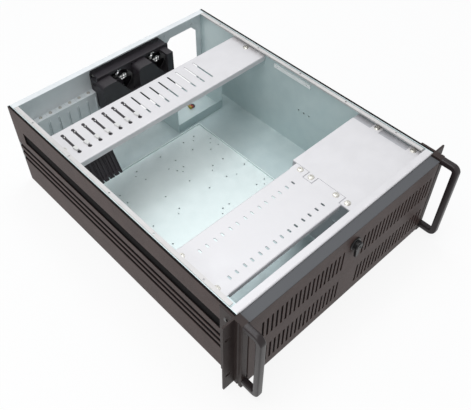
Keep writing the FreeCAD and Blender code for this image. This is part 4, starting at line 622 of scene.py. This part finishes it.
# bow handle: the bar's middle line is two feet and a back with rounded corners, and its section is a
# rectangle with rounded corners, |x/a|^n + |y/b|^n = 1
handleSet = {"centre": 215.4, "foot": -18.0, "reach": -45.5, "low": 15.5, "high": 170.5, "corner": 8.0,
             "halfWide": 5.59, "halfThick": 5.49, "power": 4.5, "spokes": 32, "cornerSteps": 14}


def handlePath():
    s = handleSet
    turn = np.linspace(0, np.pi / 2, s["cornerSteps"])
    c = s["corner"]
    lowY = s["reach"] + c - c * np.sin(turn)
    lowZ = s["low"] + c - c * np.cos(turn)
    y = np.concatenate(([s["foot"]], lowY, lowY[::-1], [s["foot"]]))
    z = np.concatenate(([s["low"]], lowZ, s["high"] + s["low"] - lowZ[::-1], [s["high"]]))
    heading = np.concatenate(([0.0], turn, np.pi - turn[::-1], [np.pi]))
    return y, z, heading


def makeHandles():
    s = handleSet
    y, z, heading = handlePath()
    angle = np.arange(s["spokes"]) * 2 * np.pi / s["spokes"]
    across = np.sign(np.cos(angle)) * np.abs(np.cos(angle)) ** (2 / s["power"]) * s["halfWide"]
    out = np.sign(np.sin(angle)) * np.abs(np.sin(angle)) ** (2 / s["power"]) * s["halfThick"]
    verts = np.empty((len(y), s["spokes"], 3))
    # outward from the bow, square to the path: (-sin h, -cos h) in (y, z)
    verts[..., 0] = across
    verts[..., 1] = y[:, None] - np.sin(heading)[:, None] * out
    verts[..., 2] = z[:, None] - np.cos(heading)[:, None] * out
    verts[..., 1] -= middleY / mm
    faces = gridFaces(len(y), s["spokes"])
    for side, name in ((-1, "left"), (1, "right")):
        placed = verts.reshape(-1, 3).copy()
        placed[:, 0] = placed[:, 0] * side + s["centre"] * side
        outward = faces if side < 0 else faces[:, ::-1]
        makePiece("handleBow" + name.capitalize(), placed * mm, outward, "handle", "case",
                  ("handle_" + name,))


# fan rotor: a hub with one rounded end, and swept blades. At share u of the way out and v from -1 to 1 over
# the chord, a blade point lies at angle sweep * u^2 + v * half chord / radius and at height
# v * rise + camber * (1 - v^2), with half the thickness (thick / 2) * (1 - thin * v^2) on each side; the half
# chord and the rise change evenly from root to tip
rotorSet = {"front": 533.8, "length": 17.0, "hub": 16.5, "round": 2.4, "root": 15.6, "tip": 36.7,
            "blades": 7, "halfChordRoot": 6.7, "halfChordTip": 15.9, "riseRoot": 5.4, "riseTip": 6.0,
            "camber": 1.2, "sweep": 0.28, "thick": 1.3, "thin": 0.6, "along": 12, "over": 12,
            "bore": 1.7, "cornerSteps": 7, "hubSpokes": 48, "centres": (-16.0, 64.4), "height": 121.0}


def bladeMesh():
    s = rotorSet
    u = np.linspace(0, 1, s["along"])[:, None]
    v = np.linspace(-1, 1, s["over"])[None, :]
    radius = s["root"] + (s["tip"] - s["root"]) * u + 0 * v
    halfChord = s["halfChordRoot"] + (s["halfChordTip"] - s["halfChordRoot"]) * u
    angle = s["sweep"] * u ** 2 + v * halfChord / radius
    height = v * (s["riseRoot"] + (s["riseTip"] - s["riseRoot"]) * u) + s["camber"] * (1 - v ** 2)
    thick = s["thick"] / 2 * (1 - s["thin"] * v ** 2)
    layers = []
    for side in (1, -1):
        layers.append(np.stack((radius * np.cos(angle), radius * np.sin(angle), height + side * thick), -1))
    loop = np.concatenate((layers[0], layers[1][:, ::-1]), 1)
    verts = loop.reshape(-1, 3)
    spokes = 2 * s["over"]
    sides = gridFaces(s["along"], spokes)
    last = (s["along"] - 1) * spokes
    k = np.arange(s["over"] - 1)
    cap = np.stack((last + k, last + k + 1, last + spokes - 2 - k, last + spokes - 1 - k), -1)
    return verts, np.concatenate((sides, cap))


def makeRotors():
    s = rotorSet
    verts, faces = bladeMesh()
    turns = [np.array(Matrix.Rotation(i * 2 * np.pi / s["blades"], 3, "Z")) for i in range(s["blades"])]
    blades = scatter(verts, faces, np.zeros((s["blades"], 3)), turns)
    corner = np.linspace(0, np.pi / 2, s["cornerSteps"])
    hubTop = s["length"] / 2
    edge = np.stack((s["hub"] - s["round"] + s["round"] * np.sin(corner),
                     -hubTop + s["round"] - s["round"] * np.cos(corner)), -1)
    rim = [(s["hub"], hubTop), (s["hub"], hubTop), (s["bore"], hubTop)]
    hub = lathe(np.concatenate(([(0.0, -hubTop)], edge, rim)), s["hubSpokes"])
    verts, faces = joined((blades, (hub[0], hub[1][:, ::-1])))
    verts = verts @ towards(0, 1, 0).T
    for name, x in zip(("left", "right"), s["centres"]):
        place = np.array((x, s["front"] + s["length"] / 2 - middleY / mm, s["height"]))
        makePiece("rotor" + name.capitalize(), (verts + place) * mm, faces, "plastic", "fan_" + name,
                  ("fan_rotor_" + name,))


# wire guard: rings of round wire, two crossed bars, and an eye at each screw that the bars run into. A ring
# point lies radius + wire * cos b from the middle and wire * sin b above it, carried round by angle a
guardSet = {"back": 558.0, "depth": 1.5, "rings": 4, "first": 10.3, "pitch": 8.64, "wire": 0.75,
            "eye": 4.1, "eyeBore": 2.3, "eyeSpokes": 24, "bevel": 0.2, "reach": 50.5, "inset": 3.6,
            "screwReach": 35.75, "barTurns": (0.25, 0.75), "spokes": 72, "wireSpokes": 10,
            "centres": rotorSet["centres"], "height": rotorSet["height"]}


def ringMesh(radius, wire, spokes, around):
    a = np.arange(spokes)[:, None] * 2 * np.pi / spokes
    b = np.arange(around)[None, :] * 2 * np.pi / around
    reach = radius + wire * np.cos(b)
    verts = np.stack((reach * np.cos(a), reach * np.sin(a), wire * np.sin(b) + 0 * a), -1).reshape(-1, 3)
    faces = gridFaces(spokes + 1, around) % (spokes * around)
    return verts, faces


def makeGuards():
    s = guardSet
    radii = [s["first"] + i * s["pitch"] for i in range(s["rings"])]
    parts = [ringMesh(radius, s["wire"], s["spokes"], s["wireSpokes"]) for radius in radii]
    barEnd = s["reach"] - s["inset"]
    bar = lathe([(s["wire"], -barEnd), (s["wire"], barEnd)], s["wireSpokes"])
    half, bore, outer, bevel = s["depth"] / 2, s["eyeBore"], s["eye"], s["bevel"]
    eye = lathe([(bore, -half), (outer - bevel, -half), (outer, -half + bevel), (outer, half - bevel),
                 (outer - bevel, half), (bore, half), (bore, -half)], s["eyeSpokes"])
    for turn in s["barTurns"]:
        lay = towards(math.cos(turn * math.pi), math.sin(turn * math.pi), 0)
        parts.append((bar[0] @ lay.T, bar[1]))
    corners = [(sx * s["screwReach"], sz * s["screwReach"], 0.0) for sx in (-1, 1) for sz in (-1, 1)]
    parts.append(scatter(*eye, corners))
    verts, faces = joined(parts)
    verts = verts @ towards(0, 1, 0).T
    places = [(x, s["back"] + half - middleY / mm, s["height"]) for x in s["centres"]]
    allVerts, allFaces = scatter(verts, faces, places)
    makePiece("guardWires", allVerts * mm, allFaces, "screw", "case", ("finger_guards",))


# screen behind each fan: flat wires along x and, set back a little, along z. Each reaches sqrt(R^2 - d^2)
# both ways, where d is how far its outer edge lies from the middle
screenSet = {"back": 556.9, "deep": 0.8, "radius": 37.95, "pitch": 5.8, "wire": 1.9, "count": 6,
             "lift": 0.02, "centres": rotorSet["centres"], "height": rotorSet["height"]}


def makeScreens():
    s = screenSet
    offset = np.arange(-s["count"], s["count"] + 1) * s["pitch"]
    half = np.sqrt(s["radius"] ** 2 - (np.abs(offset) + s["wire"] / 2) ** 2)
    square = ((-1, -1), (1, -1), (1, 1), (-1, 1))
    corner = np.array([(x, y, z) for y in (0.0, s["deep"]) for x, z in square], float)
    flat = np.array([(0, 1, 2, 3), (7, 6, 5, 4), (0, 4, 5, 1), (1, 5, 6, 2), (2, 6, 7, 3), (3, 7, 4, 0)])
    level = np.repeat(corner[None], len(offset), 0)
    level[..., 0] *= half[:, None]
    level[..., 2] = level[..., 2] * s["wire"] / 2 + offset[:, None]
    upright = level[..., [2, 1, 0]] + np.array((0.0, s["deep"] * s["lift"], 0.0))
    steps = (np.arange(2 * len(offset)) * 8)[:, None, None]
    verts = np.concatenate((level, upright)).reshape(-1, 3)
    turned = np.concatenate([np.repeat(side[None], len(offset), 0) for side in (flat, flat[:, ::-1])])
    faces = (turned + steps).reshape(-1, 4)
    places = [(x, s["back"] - middleY / mm, s["height"]) for x in s["centres"]]
    allVerts, allFaces = scatter(verts, faces, places)
    makePiece("fanScreens", allVerts * mm, allFaces, "teal", "case", (), False)


makeShelfScrews()
makeCoverScrews()
makeHandles()
makeRotors()
makeGuards()
makeScreens()
print("stage: screws, handles, rotors, guards and screens")
